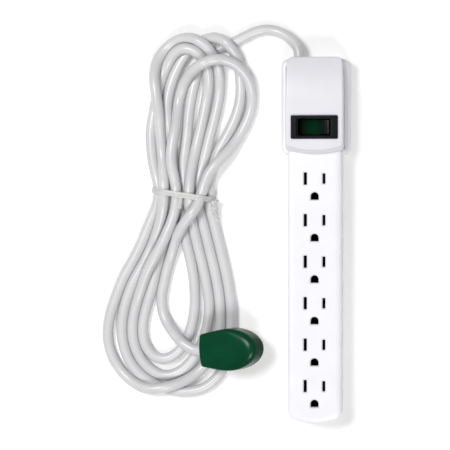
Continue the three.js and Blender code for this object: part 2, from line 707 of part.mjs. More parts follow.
addMesh("switch_bezel", switchBezel(), BLACK_PLASTIC);
addMesh("switch_base", switchBase(), BLACK_PLASTIC);
addMesh("terminal_load", terminal(-TERMINAL_X, 2.4, 16.1), BRASS);
addMesh("terminal_line", terminal(0, 0.6, 17), BRASS);
addMesh("terminal_lamp", terminal(TERMINAL_X, 1.4, 16), BRASS);
addMesh("lamp_neon", rodAlongX(1.2, [-4, 4], SWITCH_Y + 3.9, 18.6), GLASS);
addMesh("lamp_resistor", rodAlongX(0.9, [-3, 3], SWITCH_Y - 4.1, 18.6), RESISTOR);
addMesh(
  "breaker_bimetal",
  box([-5.2, -1.6], [SWITCH_Y - 2, SWITCH_Y + 2], [SWITCH_CASE_BOTTOM, SWITCH_CASE_BOTTOM + 0.4]),
  BRASS,
);

const rockerGroup = new THREE.Group();
rockerGroup.position.set(0, SWITCH_Y, ROCKER_PIVOT_Z);
rockerGroup.rotation.y = degrees(ROCKER_TILT);
object.add(rockerGroup);
addMesh("rocker", rockerGeometry(), GREEN_LENS, rockerGroup);
addMesh("rocker_plunger", post(1.1, 0, 0, -7.6, -6 - GAP, 10), STEEL, rockerGroup);

const leverGroup = new THREE.Group();
leverGroup.position.set(0, SWITCH_Y, LEVER_Z);
leverGroup.rotation.y = -degrees(LEVER_TILT);
object.add(leverGroup);
addMesh("contact_lever", leverGeometry(), BRASS, leverGroup);

for (const [name, [look, radius, route]] of Object.entries(WIRE_ROUTES)) {
  addMesh(name, tube(route, radius, 8, 14), look);
}

addMesh("cord_bushing", cordBushing(), CORD_VINYL);
addMesh(
  "cord_inner_end",
  rodAlongY(CORD_RADIUS, [96, BUSHING_INNER_Y - GAP], CORD_EXIT.x, CORD_EXIT.z),
  CORD_VINYL,
);
addMesh("cord_lead", tube(LEAD_ROUTE, CORD_RADIUS, CORD_SIDES, 12), CORD_VINYL);
addMesh("cord_hank", cordHank(), CORD_VINYL);
addMesh("cord_tail", tube(TAIL_ROUTE, CORD_RADIUS, CORD_SIDES, 16), CORD_VINYL);

const tieGroup = new THREE.Group();
tieGroup.position.copy(TIE_PLACE);
tieGroup.rotation.z = degrees(TIE_SLANT);
object.add(tieGroup);
addMesh("cord_tie", cordTie(), TIE_PAPER, tieGroup);

const plugGroup = new THREE.Group();
plugGroup.position.copy(PLUG_PLACE);
plugGroup.rotation.set(0, -degrees(PLUG_LIFT), degrees(PLUG_YAW), "ZYX");
object.add(plugGroup);
addMesh("plug_body", plugBody(), GREEN_VINYL, plugGroup);
addMesh("plug_blade_hot", blade(SLOT_X), BRASS, plugGroup);
addMesh("plug_blade_neutral", blade(-SLOT_X), BRASS, plugGroup);
addMesh("plug_earth_pin", earthPin(), BRASS, plugGroup);

export default object;
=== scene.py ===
"""The looks of a six-outlet power strip and its tied cord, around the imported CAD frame.

Metres, +Z up; the strip's long axis is Y and its outlets face +Z.
"""
import json
from math import acos, asin, cos, degrees, pi, radians, sin, tan

import bmesh
import bpy
import numpy as np
from mathutils import Matrix, Vector


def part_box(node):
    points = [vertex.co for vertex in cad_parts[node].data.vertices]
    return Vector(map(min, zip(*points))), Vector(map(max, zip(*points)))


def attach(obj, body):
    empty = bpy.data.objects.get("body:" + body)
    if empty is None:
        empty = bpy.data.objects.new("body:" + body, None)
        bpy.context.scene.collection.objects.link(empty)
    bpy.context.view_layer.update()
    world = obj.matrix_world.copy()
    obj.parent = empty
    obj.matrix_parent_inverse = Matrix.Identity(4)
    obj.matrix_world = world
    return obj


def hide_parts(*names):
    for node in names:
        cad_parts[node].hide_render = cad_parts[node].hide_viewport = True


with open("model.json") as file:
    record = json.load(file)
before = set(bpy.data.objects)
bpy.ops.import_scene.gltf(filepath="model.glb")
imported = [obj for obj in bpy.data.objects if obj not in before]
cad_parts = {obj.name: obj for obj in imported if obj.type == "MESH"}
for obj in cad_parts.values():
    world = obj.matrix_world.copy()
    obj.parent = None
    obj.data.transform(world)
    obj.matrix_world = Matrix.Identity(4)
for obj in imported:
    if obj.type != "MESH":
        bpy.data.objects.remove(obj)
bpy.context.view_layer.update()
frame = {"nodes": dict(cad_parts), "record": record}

# ---- sizes

GAP = 0.0003
WALL = 0.002
# How far a solid that cuts or joins reaches past the surface it meets.
OVERCUT = 0.001

FRONT_LOW, FRONT_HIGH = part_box("front_housing")
REAR_LOW, REAR_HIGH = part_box("rear_housing")
HOOD_LOW, HOOD_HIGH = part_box("switch_hood")
BEZEL_LOW, BEZEL_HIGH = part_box("switch_bezel")
BUSHING_LOW, BUSHING_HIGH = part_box("cord_bushing")

BODY_TOP = FRONT_HIGH.z
BODY_END = REAR_LOW.y
PARTING = REAR_HIGH.z
BODY_WIDTH = 0.0364
END_BULGE = 0.0024
END_CORNER = 0.0045
TOP_FILLET = 0.0019
TOP_CROWN = 0.0042
HEAD_WIDTH = FRONT_HIGH.x - FRONT_LOW.x
HEAD_LOW_Y = 0.058
UNDER_HOOD_Y = HEAD_LOW_Y + 0.004
HEAD_HIGH_Y = REAR_HIGH.y
HEAD_TOP = 0.018
HEAD_CORNER = 0.0055
HEAD_FILLET = 0.0028
HEAD_OPENING_HALF = 0.0155
HEAD_OPENING_HIGH_Y = 0.098

OUTLETS = 6
OUTLET_PITCH = 0.0283
FIRST_OUTLET_Y = 0.0422
SLOT_X = 0.00635
NEUTRAL_SLOT = (0.0022, 0.0084)
HOT_SLOT = (0.002, 0.0071)
BLADE_SLOTS = ((-SLOT_X, NEUTRAL_SLOT), (SLOT_X, HOT_SLOT))
SLOT_CORNER = 0.0003
EARTH_DROP = 0.01186
EARTH_HOLE_RADIUS = 0.00275
EARTH_HOLE_SIZE = (2 * EARTH_HOLE_RADIUS, 2 * EARTH_HOLE_RADIUS)
EARTH_HOLE_BOTTOM = 0.0026
EARTH_HOLE_DROP = 0.00015
RIM_CHAMFER = 0.0007
SHROUD_WALL = 0.001
SLOT_SHROUD_BOTTOM = 0.0219
EARTH_SHROUD_BOTTOM = 0.02
PARTING_CHAMFER = 0.00025
BOTTOM_FILLET = 0.0012

SCREW_ROWS = ((0.09, 0.019), (-0.003, 0.0134), (-0.103, 0.0134))
SCREWS = [(side * x, y) for y, x in SCREW_ROWS for side in (-1, 1)]
FRONT_BOSS_RADIUS = 0.0026
REAR_BOSS_RADIUS = 0.0036
SCREW_HOLE_RADIUS = 0.0016
SCREW_HOLE_TOP = 0.0164
SCREW_HEAD_RADIUS = 0.0026
SCREW_HEAD_TOP = 0.0052
SCREW_CROSS = (0.0017, 0.0004)
KEYHOLE_YS = (0.06, -0.09)
KEYHOLE_RADIUS = 0.00425
KEYHOLE_NECK = 0.0046
KEYHOLE_TRAVEL = 0.0085
KEYHOLE_POCKET_TOP = 0.005
KEYHOLE_POCKET_WALL = 0.0014
BAR_RIB_X = 0.0038
BAR_RIB_THICK = 0.001
CROSS_RIB_REACH = 0.0095
CROSS_RIB_THICK = 0.0012
CROSS_RIB_TOP = 0.0067
CROSS_RIB_PLACE = 0.72

HOOD_WIDTH = HOOD_HIGH.x - HOOD_LOW.x
HOOD_CORNER = 0.004
HOOD_FOOT_Y = 0.0584
HOOD_INNER_LOW_Y = 0.065
HOOD_SLOPE = 0.0033
HOOD_SIDE_RISE = 0.0033
HOOD_FILLET = 0.0013
HOOD_END_ROUND = 0.0022
HOOD_OPENING_LOW = 0.02
DROOP_START = 0.096
DROOP_FALL = 0.0046
DROOP_TAPER = 0.045
GROOVE_WIDTH = 0.0007
GROOVE_DEPTH = 0.0013
GROOVE_OVERLAP = 0.0002
GROOVE_START_Y = UNDER_HOOD_Y + 0.0006

rocker_joint = next(j for j in frame["record"]["behaviour"]["joints"] if j["name"] == "rocker_tilt")
ROCKER_PIVOT = Vector(rocker_joint["pos_m"])
SWITCH_Y = ROCKER_PIVOT.y
SWITCH_CASE = (0.0274, 0.0126)
SWITCH_WELL = (0.022, 0.011)
ROCKER_WIDTH = 0.0102
ROCKER_RADIUS = 0.0106
ROCKER_CREST = 0.005
ROCKER_VALLEY = 0.0034
ROCKER_SKIRT = -0.0035
ROCKER_FOOT = (0.003, -0.006)
ROCKER_EDGE = 0.0005
ROCKER_REST = radians(9)
TRUNNION_RADIUS = 0.0014
TRUNNION_CHAMFER = 0.0002
LAMP_PLACE = ROCKER_PIVOT + Vector((-0.001, -0.001, 0.0035))
PAINTED_GLOW_SPREAD = 0.0105

CORD_X = -0.0117
CORD_HOLE_RADIUS = 0.00505
CORD_HOLE_REACH = 0.004
BUSHING_TAIL_RADII = (0.0041, 0.005)
COLLAR_RADIUS = 0.0062
COLLAR_LOW_Y = 0.116
COLLAR_HIGH_Y = 0.1219
COLLAR_CHAMFER = 0.0002
BUSHING_NECK_RADIUS = 0.0047

BLADE_X = 0.019
BLADE_WIDTH = 0.00635
BLADE_THICK = 0.0015
BLADE_LENGTH = 0.016
BLADE_HOLE_RADIUS = 0.0016
BLADE_HOLE_DEPTH = 0.0115
EARTH_PIN_RADIUS = 0.0024
EARTH_PIN_LENGTH = 0.0206
PIN_ROOT = 0.004

# ---- mesh helpers


def new_object(name, data):
    obj = bpy.data.objects.new(name, data)
    bpy.context.collection.objects.link(obj)
    return obj


def solid(name, bm):
    mesh = bpy.data.meshes.new(name)
    bmesh.ops.recalc_face_normals(bm, faces=bm.faces[:])
    bm.to_mesh(mesh)
    bm.free()
    return new_object(name, mesh)


def loft(name, rings, looped=False):
    """A skin through rings of equal length, closed by a cap at each end or by its first ring."""
    bm = bmesh.new()
    rows = [[bm.verts.new(point) for point in ring] for ring in rings]
    pairs = list(zip(rows, rows[1:]))
    if looped:
        pairs.append((rows[-1], rows[0]))
    for lower, upper in pairs:
        for k in range(len(lower)):
            after = (k + 1) % len(lower)
            bm.faces.new((lower[k], lower[after], upper[after], upper[k]))
    if not looped:
        bm.faces.new(rows[0])
        bm.faces.new(rows[-1])
    return solid(name, bm)


def level(outline, z):
    return [(x, y, z) for x, y in outline]


def about(middle, half):
    return (middle - half, middle + half)


def box(name, x, y, z):
    """A box between the two values given for each axis."""
    ring = [(x[0], y[0]), (x[1], y[0]), (x[1], y[1]), (x[0], y[1])]
    return loft(name, [level(ring, z[0]), level(ring, z[1])])


def arc(x, y, radius, start, stop, count=9):
    angles = [radians(start + (stop - start) * k / (count - 1)) for k in range(count)]
    return [(x + radius * cos(a), y + radius * sin(a)) for a in angles]


def full_turn(count):
    """Angles evenly round a circle."""
    return np.linspace(0, 2 * pi, count + 1)[:-1]


def circle(radius, sides):
    return [(radius * cos(a), radius * sin(a)) for a in full_turn(sides)]


def bend(a, b, c, count=12):
    """Points of a quadratic curve from a to c, drawn towards b, without its last point."""
    points = []
    for k in range(count):
        t = k / count
        points.append(tuple((1 - t) ** 2 * a[i] + 2 * t * (1 - t) * b[i] + t * t * c[i] for i in (0, 1)))
    return points


def straight(a, b, count):
    """Points between a and b, without either end."""
    return [tuple(a[i] + (b[i] - a[i]) * k / count for i in (0, 1)) for k in range(1, count)]


SMALLEST_CORNER = 0.0002


def rounded_rectangle(half_x, low_y, high_y, radius, inset=0.0, pieces=1):
    half_x, low_y, high_y = half_x - inset, low_y + inset, high_y - inset
    r = max(radius - inset, SMALLEST_CORNER)
    corners = [
        arc(half_x - r, high_y - r, r, 0, 90),
        arc(r - half_x, high_y - r, r, 90, 180),
        arc(r - half_x, low_y + r, r, 180, 270),
        arc(half_x - r, low_y + r, r, 270, 360),
    ]
    points = []
    for k, corner in enumerate(corners):
        points += corner
        points += straight(corner[-1], corners[(k + 1) % 4][0], pieces)
    return points


def turned(name, profile, x, y, sides=48, along_y=False):
    """A solid of revolution about a line along Z, or along Y, from (radius, height) pairs."""
    rings = []
    for radius, height in profile:
        ring = circle(radius, sides)
        if along_y:
            rings.append([(x + u, height, y + v) for u, v in ring])
        else:
            rings.append([(x + u, y + v, height) for u, v in ring])
    return loft(name, rings)


def drill(radius, x, z, y, reach, sides=48):
    """A rod along Y about a middle, to cut a round hole."""
    return turned("hole", [(radius, end) for end in about(y, reach)], x, z, sides, along_y=True)


def inward(outline):
    """The direction into a closed outline at each of its points."""
    points = np.array(outline)
    tangent = np.roll(points, -1, axis=0) - np.roll(points, 1, axis=0)
    tangent /= np.linalg.norm(tangent, axis=1)[:, None]
    return points, np.column_stack([-tangent[:, 1], tangent[:, 0]])


def round_over(radius, steps=6):
    """Pairs of inset and height above the start, once round a quarter circle."""
    angles = [pi / 2 * k / steps for k in range(steps + 1)]
    return [(radius * (1 - cos(a)), radius * sin(a)) for a in angles]


def combine(base, others, operation="DIFFERENCE"):
    """Takes the other solids from the base, or joins them to it, and removes them."""
    for other in others:
        modifier = base.modifiers.new("combine", "BOOLEAN")
        modifier.operation = operation
        modifier.solver = "EXACT"
        modifier.object = other
    graph = bpy.context.evaluated_depsgraph_get()
    mesh = bpy.data.meshes.new_from_object(base.evaluated_get(graph))
    base.modifiers.clear()
    base.data = mesh
    mesh.name = base.name
    for other in others:
        bpy.data.objects.remove(other)
    return base


def shade(obj, sharp_degrees):
    """Smooth shading that keeps flat faces flat and corners over the angle crisp."""
    obj.data.shade_smooth()
    obj.data.set_sharp_from_angle(angle=radians(sharp_degrees))
    weighted = obj.modifiers.new("flat faces", "WEIGHTED_NORMAL")
    weighted.keep_sharp = True
    weighted.weight = 100


# ---- materials

SHADER = "Principled BSDF"
METAL_STRETCH = (300, 40, 300)
LOOKS = {}


def new_material(name):
    """A material, kept in LOOKS by the name asked for, which Blender may have to change."""
    material = bpy.data.materials.new(name)
    material.use_nodes = True
    LOOKS[name] = material
    return material, material.node_tree


def set_inputs(node, inputs):
    for key, value in inputs.items():
        node.inputs[key.replace("_", " ")].default_value = value


def add_node(tree, kind, **inputs):
    node = tree.nodes.new(kind)
    set_inputs(node, inputs)
    return node


def coordinates(tree, **mapping):
    """The object's own coordinates, moved or scaled where a mapping is given."""
    where = tree.nodes.new("ShaderNodeTexCoord").outputs["Object"]
    if not mapping:
        return where
    node = add_node(tree, "ShaderNodeMapping", **mapping)
    tree.links.new(where, node.inputs["Vector"])
    return node.outputs["Vector"]


def texture(tree, kind, where, **inputs):
    """A texture's node and its value at the coordinates."""
    node = add_node(tree, kind, **inputs)
    tree.links.new(where, node.inputs["Vector"])
    return node, node.outputs["Fac"]


def noise(tree, where, **inputs):
    return texture(tree, "ShaderNodeTexNoise", where, **inputs)[1]


def feed(tree, source, socket):
    tree.links.new(source, tree.nodes[SHADER].inputs[socket])


def colour_by(tree, value, dark, light, start=0.0, stop=1.0, easing="LINEAR"):
    """The shader's colour goes from dark to light as the value goes from start to stop."""
    ramp = tree.nodes.new("ShaderNodeValToRGB")
    ramp.color_ramp.interpolation = easing
    low, high = ramp.color_ramp.elements
    low.position, high.position = start, stop
    low.color, high.color = (*dark, 1), (*light, 1)
    tree.links.new(value, ramp.inputs["Fac"])
    feed(tree, ramp.outputs["Color"], "Base Color")


def roughness_by(tree, value, low, high):
    span = add_node(tree, "ShaderNodeMapRange", To_Min=low, To_Max=high)
    tree.links.new(value, span.inputs["Value"])
    feed(tree, span.outputs["Result"], "Roughness")


def relief_by(tree, value, strength, depth):
    bump = add_node(tree, "ShaderNodeBump", Strength=strength, Distance=depth)
    tree.links.new(value, bump.inputs["Height"])
    feed(tree, bump.outputs["Normal"], "Normal")


def moulded(name, dark, light, roughness, grain, depth, blotch=45.0, **settings):
    """Moulded plastic: a cloudy tone between two colours, a fine grain and uneven gloss.

    grain is in grains a metre and depth in metres; the rest set the shader's own sockets.
    """
    material, tree = new_material(name)
    where = coordinates(tree)
    cloud = noise(tree, where, Scale=blotch, Detail=3.0, Roughness=0.55)
    colour_by(tree, cloud, dark, light, 0.35, 0.65)
    fine = noise(tree, where, Scale=grain, Detail=2.0, Roughness=0.6)
    roughness_by(tree, fine, roughness - 0.05, roughness + 0.06)
    relief_by(tree, fine, 1.0, depth)
    set_inputs(tree.nodes[SHADER], settings)
    return material


def lens_with_painted_glow(name, dark, light):
    """Tinted clear plastic, its colour painted brighter over the lamp behind its middle as a painted
    glow of light through the lens, with a faint ribbing.
    """
    material, tree = new_material(name)
    where = coordinates(tree)
    from_lamp = coordinates(tree, Location=-LAMP_PLACE / PAINTED_GLOW_SPREAD, Scale=[1 / PAINTED_GLOW_SPREAD] * 3)
    painted_glow_node, painted_glow_amount = texture(tree, "ShaderNodeTexGradient", from_lamp)
    painted_glow_node.gradient_type = "SPHERICAL"
    # Painted glow: the colour lightens towards the lamp's place, standing in for light through the lens.
    colour_by(tree, painted_glow_amount, dark, light, easing="EASE")
    ribs = texture(tree, "ShaderNodeTexWave", where, Scale=180.0, Distortion=0.3)[1]
    relief_by(tree, ribs, 0.5, 0.00001)
    fine = noise(tree, where, Scale=700.0, Detail=2.0)
    roughness_by(tree, fine, 0.1, 0.2)
    set_inputs(tree.nodes[SHADER], {"Specular IOR Level": 0.09})
    return material


def metal(name, dark, light, roughness):
    """Drawn or stamped metal with fine lines along Y and darker patches of tarnish."""
    material, tree = new_material(name)
    lines = noise(tree, coordinates(tree, Scale=METAL_STRETCH), Scale=12.0, Detail=4.0)
    patches = noise(tree, coordinates(tree), Scale=160.0, Detail=3.0)
    colour_by(tree, patches, dark, light, 0.38, 0.62)
    roughness_by(tree, lines, roughness - 0.08, roughness + 0.12)
    relief_by(tree, lines, 0.6, 0.00002)
    set_inputs(tree.nodes[SHADER], {"Metallic": 1.0})
    return material


WHITE_SHELL = moulded("white_shell", (0.805, 0.805, 0.835), (0.835, 0.835, 0.865), 0.36, 2600, 0.000012)
# The hood's plastic is set greyer than the white shell; the difference is painted shade, for the darker
# look its falling top has.
HOOD_SHELL = moulded("hood_shell", (0.685, 0.682, 0.722), (0.71, 0.707, 0.747), 0.34, 2600, 0.000012)
# Near-black plastic for the shells' inside faces: painted shade, as the inside is the same white
# plastic.
INSIDE_PAINTED_SHADE = moulded("shell_inside", (0.1, 0.1, 0.105), (0.14, 0.14, 0.145), 0.7, 1500, 0.00003)
BRASS = metal("brass", (0.62, 0.42, 0.16), (0.8, 0.6, 0.28), 0.3)
# A near-black copy of the brass for the bars inside the housing: painted shade, for the dark they lie in
# under the openings.
BRASS_IN_PAINTED_SHADE = metal("brass_in_painted_shade", (0.02, 0.014, 0.008), (0.05, 0.035, 0.018), 0.55)
STEEL = metal("steel", (0.42, 0.42, 0.44), (0.62, 0.62, 0.64), 0.32)
moulded(
    "black_plastic", (0.004, 0.004, 0.006), (0.008, 0.008, 0.011), 0.38, 3200, 0.000012,
    Specular_IOR_Level=0.07,
)
moulded("cord_vinyl", (0.6, 0.6, 0.61), (0.64, 0.64, 0.645), 0.28, 1800, 0.000012, blotch=60)
moulded(
    "plug_vinyl", (0.0, 0.038, 0.014), (0.0, 0.052, 0.02), 0.24, 2200, 0.000008,
    Specular_IOR_Level=0.17,
)
moulded("tie_paper", (0.5, 0.5, 0.49), (0.66, 0.655, 0.64), 0.5, 1400, 0.00006, blotch=900)
lens_with_painted_glow("green_lens", (0.0, 0.0018, 0.0007), (0.0005, 0.023, 0.007))
moulded("lamp_glass", (0.75, 0.48, 0.28), (0.9, 0.68, 0.46), 0.12, 900, 0.000004)
moulded("resistor", (0.48, 0.34, 0.19), (0.58, 0.43, 0.26), 0.55, 2200, 0.00002)
moulded("black_wire", (0.012, 0.012, 0.013), (0.022, 0.022, 0.024), 0.45, 1800, 0.00001)
moulded("white_wire", (0.7, 0.7, 0.7), (0.8, 0.8, 0.79), 0.45, 1800, 0.00001)
moulded("green_wire", (0.012, 0.16, 0.05), (0.02, 0.22, 0.07), 0.45, 1800, 0.00001)

# The finish of every slot in the record; only the screws' slot is named otherwise than its look.
SLOT_LOOKS = {**LOOKS, "screw_steel": STEEL}


def dress_frame():
    """Every CAD node takes the finish of its slot in the record; the brass inside the housing takes a
    near-black copy of the brass, which is painted shade.
    """
    for part in frame["record"]["subparts"]:
        look = SLOT_LOOKS[part["material_slot"]]
        if look is BRASS and not part["node"].startswith("plug"):
            look = BRASS_IN_PAINTED_SHADE
        for material_slot in frame["nodes"][part["node"]].material_slots:
            material_slot.link = "OBJECT"
            material_slot.material = look


def fit_out(obj, slot, *nodes, body="strip", sharp_degrees=35):
    """Gives a new piece its shading, its finish and its body, and hides the CAD nodes that it stands
    for.
    """
    if obj.type == "MESH":
        shade(obj, sharp_degrees)
    obj.data.materials.append(SLOT_LOOKS[slot])
    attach(obj, body)
    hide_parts(*nodes)
    return obj


# ---- camera, light, floor

CAMERA_PLACE = Vector((0.095, 0.038, 1.5))
CAMERA_AIM = Vector((-0.064, 0.01, 0.0))
CAMERA_LENS = 173.6
LIGHT_AIM = Vector((-0.06, 0.0, 0.0))
LIGHT_SIZE = 0.6
KEY_PLACE = Vector((-0.6, 0.38, 1.65))
KEY_POWER = 18.5
FILL_PLACE = Vector((0.22, -1.05, 1.6))
FILL_POWER = 14.5
SKY_STRENGTH = 0.29
FLOOR_RADIUS = 1.6
FLOOR_THICK = 0.01
FLOOR_GLOW = 0.14


def make_camera():
    data = bpy.data.cameras.new("camera")
    data.lens = CAMERA_LENS
    data.clip_end = 10
    camera = new_object("camera", data)
    forward = (CAMERA_AIM - CAMERA_PLACE).normalized()
    right = forward.cross(Vector((0, 1, 0))).normalized()
    up = right.cross(forward)
    turn = Matrix((right, up, -forward)).transposed().to_4x4()
    camera.matrix_world = Matrix.Translation(CAMERA_PLACE) @ turn
    bpy.context.scene.camera = camera


def make_light(name, place_at, power):
    data = bpy.data.lights.new(name, "AREA")
    data.shape = "DISK"
    data.size = LIGHT_SIZE
    data.energy = power
    light = new_object(name, data)
    light.location = place_at
    light.rotation_euler = (LIGHT_AIM - place_at).to_track_quat("-Z", "Y").to_euler()


def make_floor():
    rim = circle(FLOOR_RADIUS, 64)
    floor = loft("floor", [level(rim, -FLOOR_THICK), level(rim, 0.0)])
    paper = moulded(
        "floor_paper", (0.88, 0.88, 0.88), (0.9, 0.9, 0.9), 0.85, 900, 0.00001, blotch=8,
        Emission_Color=(1, 1, 1, 1), Emission_Strength=FLOOR_GLOW,
    )
    floor.data.materials.append(paper)


def make_studio():
    world = bpy.data.worlds.new("studio")
    world.use_nodes = True
    set_inputs(world.node_tree.nodes["Background"], {"Color": (1, 1, 1, 1), "Strength": SKY_STRENGTH})
    bpy.context.scene.world = world
    bpy.context.scene.view_settings.view_transform = "Standard"
    make_light("key", KEY_PLACE, KEY_POWER)
    make_light("fill", FILL_PLACE, FILL_POWER)
    make_floor()


# ---- cord

CORD_DIAMETER = 0.0075
CORD_RADIUS = CORD_DIAMETER / 2
CORD_STEP = 0.0025
FINE_STEP = 0.0015

# The same points as the CAD's lead, from the bushing to the hank, and tail, from the hank to the plug.
LEAD_ROUTE = [
    (-0.0117, 0.1268, 0.0095), (-0.0119, 0.1294, 0.0093), (-0.0132, 0.1328, 0.0087),
    (-0.0155, 0.1359, 0.0076), (-0.0184, 0.1387, 0.0063), (-0.0221, 0.1414, 0.0052),
    (-0.0264, 0.1434, 0.0042), (-0.031, 0.1446, 0.0038), (-0.036, 0.1449, 0.0038),
    (-0.041, 0.144, 0.0038), (-0.046, 0.142, 0.0038), (-0.0504, 0.1396, 0.0038),
    (-0.0542, 0.1375, 0.0038),
]
TAIL_ROUTE = [
    (-0.0898, 0.0158, 0.0129), (-0.0938, 0.0092, 0.0129), (-0.098, 0.0012, 0.0125),
    (-0.1018, -0.0076, 0.0111), (-0.105, -0.0166, 0.0089), (-0.1076, -0.026, 0.0066),
    (-0.109, -0.0354, 0.005), (-0.1086, -0.045, 0.005), (-0.1062, -0.0536, 0.0068),
    (-0.1018, -0.0612, 0.0095), (-0.096, -0.0678, 0.012), (-0.0896, -0.073, 0.0135),
    (-0.083, -0.0759, 0.0146), (-0.07675, -0.07577, 0.01635),
]
# From the lead down to the tie, under the loops of the hank.
LEAD_IN = [
    (-0.0656, 0.1309), (-0.0753, 0.123), (-0.0829, 0.1119), (-0.0874, 0.0981), (-0.0891, 0.0857),
    (-0.0901, 0.0615),
]

# Places in the tie: five strands side by side, and four in the hollows on top of them.
WAIST_Y = 0.031
LOW_SLOTS = [(-0.1098, 0), (-0.101, 0), (-0.0922, 0), (-0.0835, 0), (-0.0747, 0)]
HIGH_SLOTS = [(-0.1054, 1), (-0.0966, 1), (-0.0878, 1), (-0.0795, 1)]

# Each turn goes down through the tie, round a lower loop, up through the tie and round an upper loop.
# A loop is its widest place on the way out, its tip, its widest place on the way back, and how many
# strands lie under it at those three places.
TURNS = [
    (LOW_SLOTS[2], ((-0.0846, -0.042), (-0.1071, -0.0831), (-0.1226, -0.0614), (0, 0, 0)),
     LOW_SLOTS[1], ((-0.1047, 0.0925), (-0.0721, 0.1396), (-0.0507, 0.1083), (0, 1, 1))),
    (LOW_SLOTS[4], ((-0.0612, -0.074), (-0.0891, -0.1055), (-0.1348, -0.0627), (0, 0, 0)),
     HIGH_SLOTS[0], ((-0.1098, 0.1039), (-0.0886, 0.1389), (-0.0672, 0.1067), (3, 3, 2))),
    (LOW_SLOTS[3], ((-0.063, -0.0473), (-0.1105, -0.103), (-0.1459, -0.0662), (0.7, 1, 0)),
     LOW_SLOTS[0], ((-0.1102, 0.1015), (-0.0904, 0.1319), (-0.0753, 0.1137), (1, 2, 1))),
    (HIGH_SLOTS[2], ((-0.074, -0.0419), (-0.1082, -0.096), (-0.1287, -0.0658), (0, 1, 1)),
     HIGH_SLOTS[1], ((-0.1016, 0.0614), (-0.0682, 0.1253), (-0.0455, 0.0923), (3, 4, 2))),
]
LAST_SLOT = HIGH_SLOTS[3]
# How high the lowest strands start above the floor, and how much each strand beneath adds.
START_GAP = 0.001
NESTED_RISE = 0.0066

# How the cord settles: its fall in metres a round, and how strongly it keeps to its route in plan and
# straightens. Its ends and the strands at the tie are held.
SETTLE_ROUNDS = 500
FAST_ROUNDS = 400
FAST_FALL = 0.0001
SLOW_FALL = 0.00004
PULL_BACK = 0.02
BEND_PUSH = 0.05
BEND_STRIDES = (1, 3)
HELD_START = 0.035
HELD_END = 0.02
HELD_WAIST = 0.003
# Which stations may touch, looked up every few rounds; those too near along the cord never do.
LOOK_EVERY = 10
NEAR = 1.5 * CORD_DIAMETER
NEIGHBOURS = 8
PUSHES = 3
SHARED_PUSH = 1.5

PLUG_LOW_CORNER = Vector((-0.0742, -0.0756, 0.0101))
PLUG_YAW = radians(3)
PLUG_LIFT = radians(19)
PLUG_LENGTH = 0.042
PLUG_HALF_WIDTH = 0.0144
PLUG_THICK = 0.0135
PLUG_TURN = Matrix.Rotation(PLUG_YAW, 4, "Z") @ Matrix.Rotation(-PLUG_LIFT, 4, "Y")
PLUG_MATRIX = Matrix.Translation(PLUG_LOW_CORNER) @ PLUG_TURN


def leg(slot, bulge, levels, outward):
    """From the tie to a loop's widest place, or back, in an easy S."""
    points = []
    for share in (0.0, 0.25, 0.5, 0.75) if outward else (0.75, 0.5, 0.25):
        ease = share * share * (3 - 2 * share)
        x = slot[0] + (bulge[0] - slot[0]) * ease
        y = WAIST_Y + (bulge[1] - WAIST_Y) * share
        points.append((x, y, slot[1] + (levels - slot[1]) * share))
    return points


def loop(start, shape, end):
    """A leg, two quarter ellipses that meet at the tip, and a leg, as (x, y, strands beneath)."""
    out, tip, back, levels = shape
    points = leg(start, out, levels[0], True)
    for bulge, widest, angles in ((out, 0, (90, 67, 45, 22)), (back, 2, (0, 22, 45, 67, 90))):
        for angle in angles:
            turn = radians(angle)
            x = tip[0] + (bulge[0] - tip[0]) * sin(turn)
            y = bulge[1] + (tip[1] - bulge[1]) * cos(turn)
            share = angle / 90
            points.append((x, y, levels[widest] * share + levels[1] * (1 - share)))
    return points + leg(end, back, levels[2], False)


def hank_points():
    points = []
    next_slots = [turn[0] for turn in TURNS[1:]] + [LAST_SLOT]
    for (down, lower, up, upper), following in zip(TURNS, next_slots):
        points += loop(down, lower, up)
        points += loop(up, upper, following)
    points.append((LAST_SLOT[0], WAIST_Y, LAST_SLOT[1]))
    return [(x, y, CORD_RADIUS + START_GAP + NESTED_RISE * count) for x, y, count in points]


def distances(points):
    """How far along the line each of its points is."""
    return np.concatenate([[0], np.cumsum(np.linalg.norm(np.diff(points, axis=0), axis=1))])


def evenly(curve, step):
    along = distances(curve)
    stations = np.linspace(0, along[-1], round(along[-1] / step) + 1)
    return np.stack([np.interp(stations, along, curve[:, i]) for i in range(3)], axis=1)


def spline(points, step):
    """A natural cubic spline through the points, as points an even step apart."""
    p = np.array(points, float)
    count = len(p)
    t = distances(p)
    h = np.diff(t)
    system = np.eye(count)
    right_side = np.zeros((count, 3))
    for i in range(1, count - 1):
        system[i, i - 1 : i + 2] = h[i - 1], 2 * (h[i - 1] + h[i]), h[i]
        right_side[i] = 6 * ((p[i + 1] - p[i]) / h[i] - (p[i] - p[i - 1]) / h[i - 1])
    m = np.linalg.solve(system, right_side)
    fine = np.linspace(0, t[-1], 16 * count)
    k = np.clip(np.searchsorted(t, fine, side="right") - 1, 0, count - 2)
    before, after, span = (fine - t[k])[:, None], (t[k + 1] - fine)[:, None], h[k][:, None]
    curve = (m[k] * after**3 + m[k + 1] * before**3) / (6 * span)
    curve += (p[k] / span - m[k] * span / 6) * after + (p[k + 1] / span - m[k + 1] * span / 6) * before
    return evenly(curve, step)


def stiffness(values, stride):
    """Fourth difference along the cord, which is how a bent beam pushes back."""
    s = stride
    out = np.zeros_like(values)
    out[2 * s : -2 * s] = (
        values[: -4 * s] - 4 * values[s : -3 * s] + 6 * values[2 * s : -2 * s]
        - 4 * values[3 * s : -s] + values[4 * s :]
    )
    return out


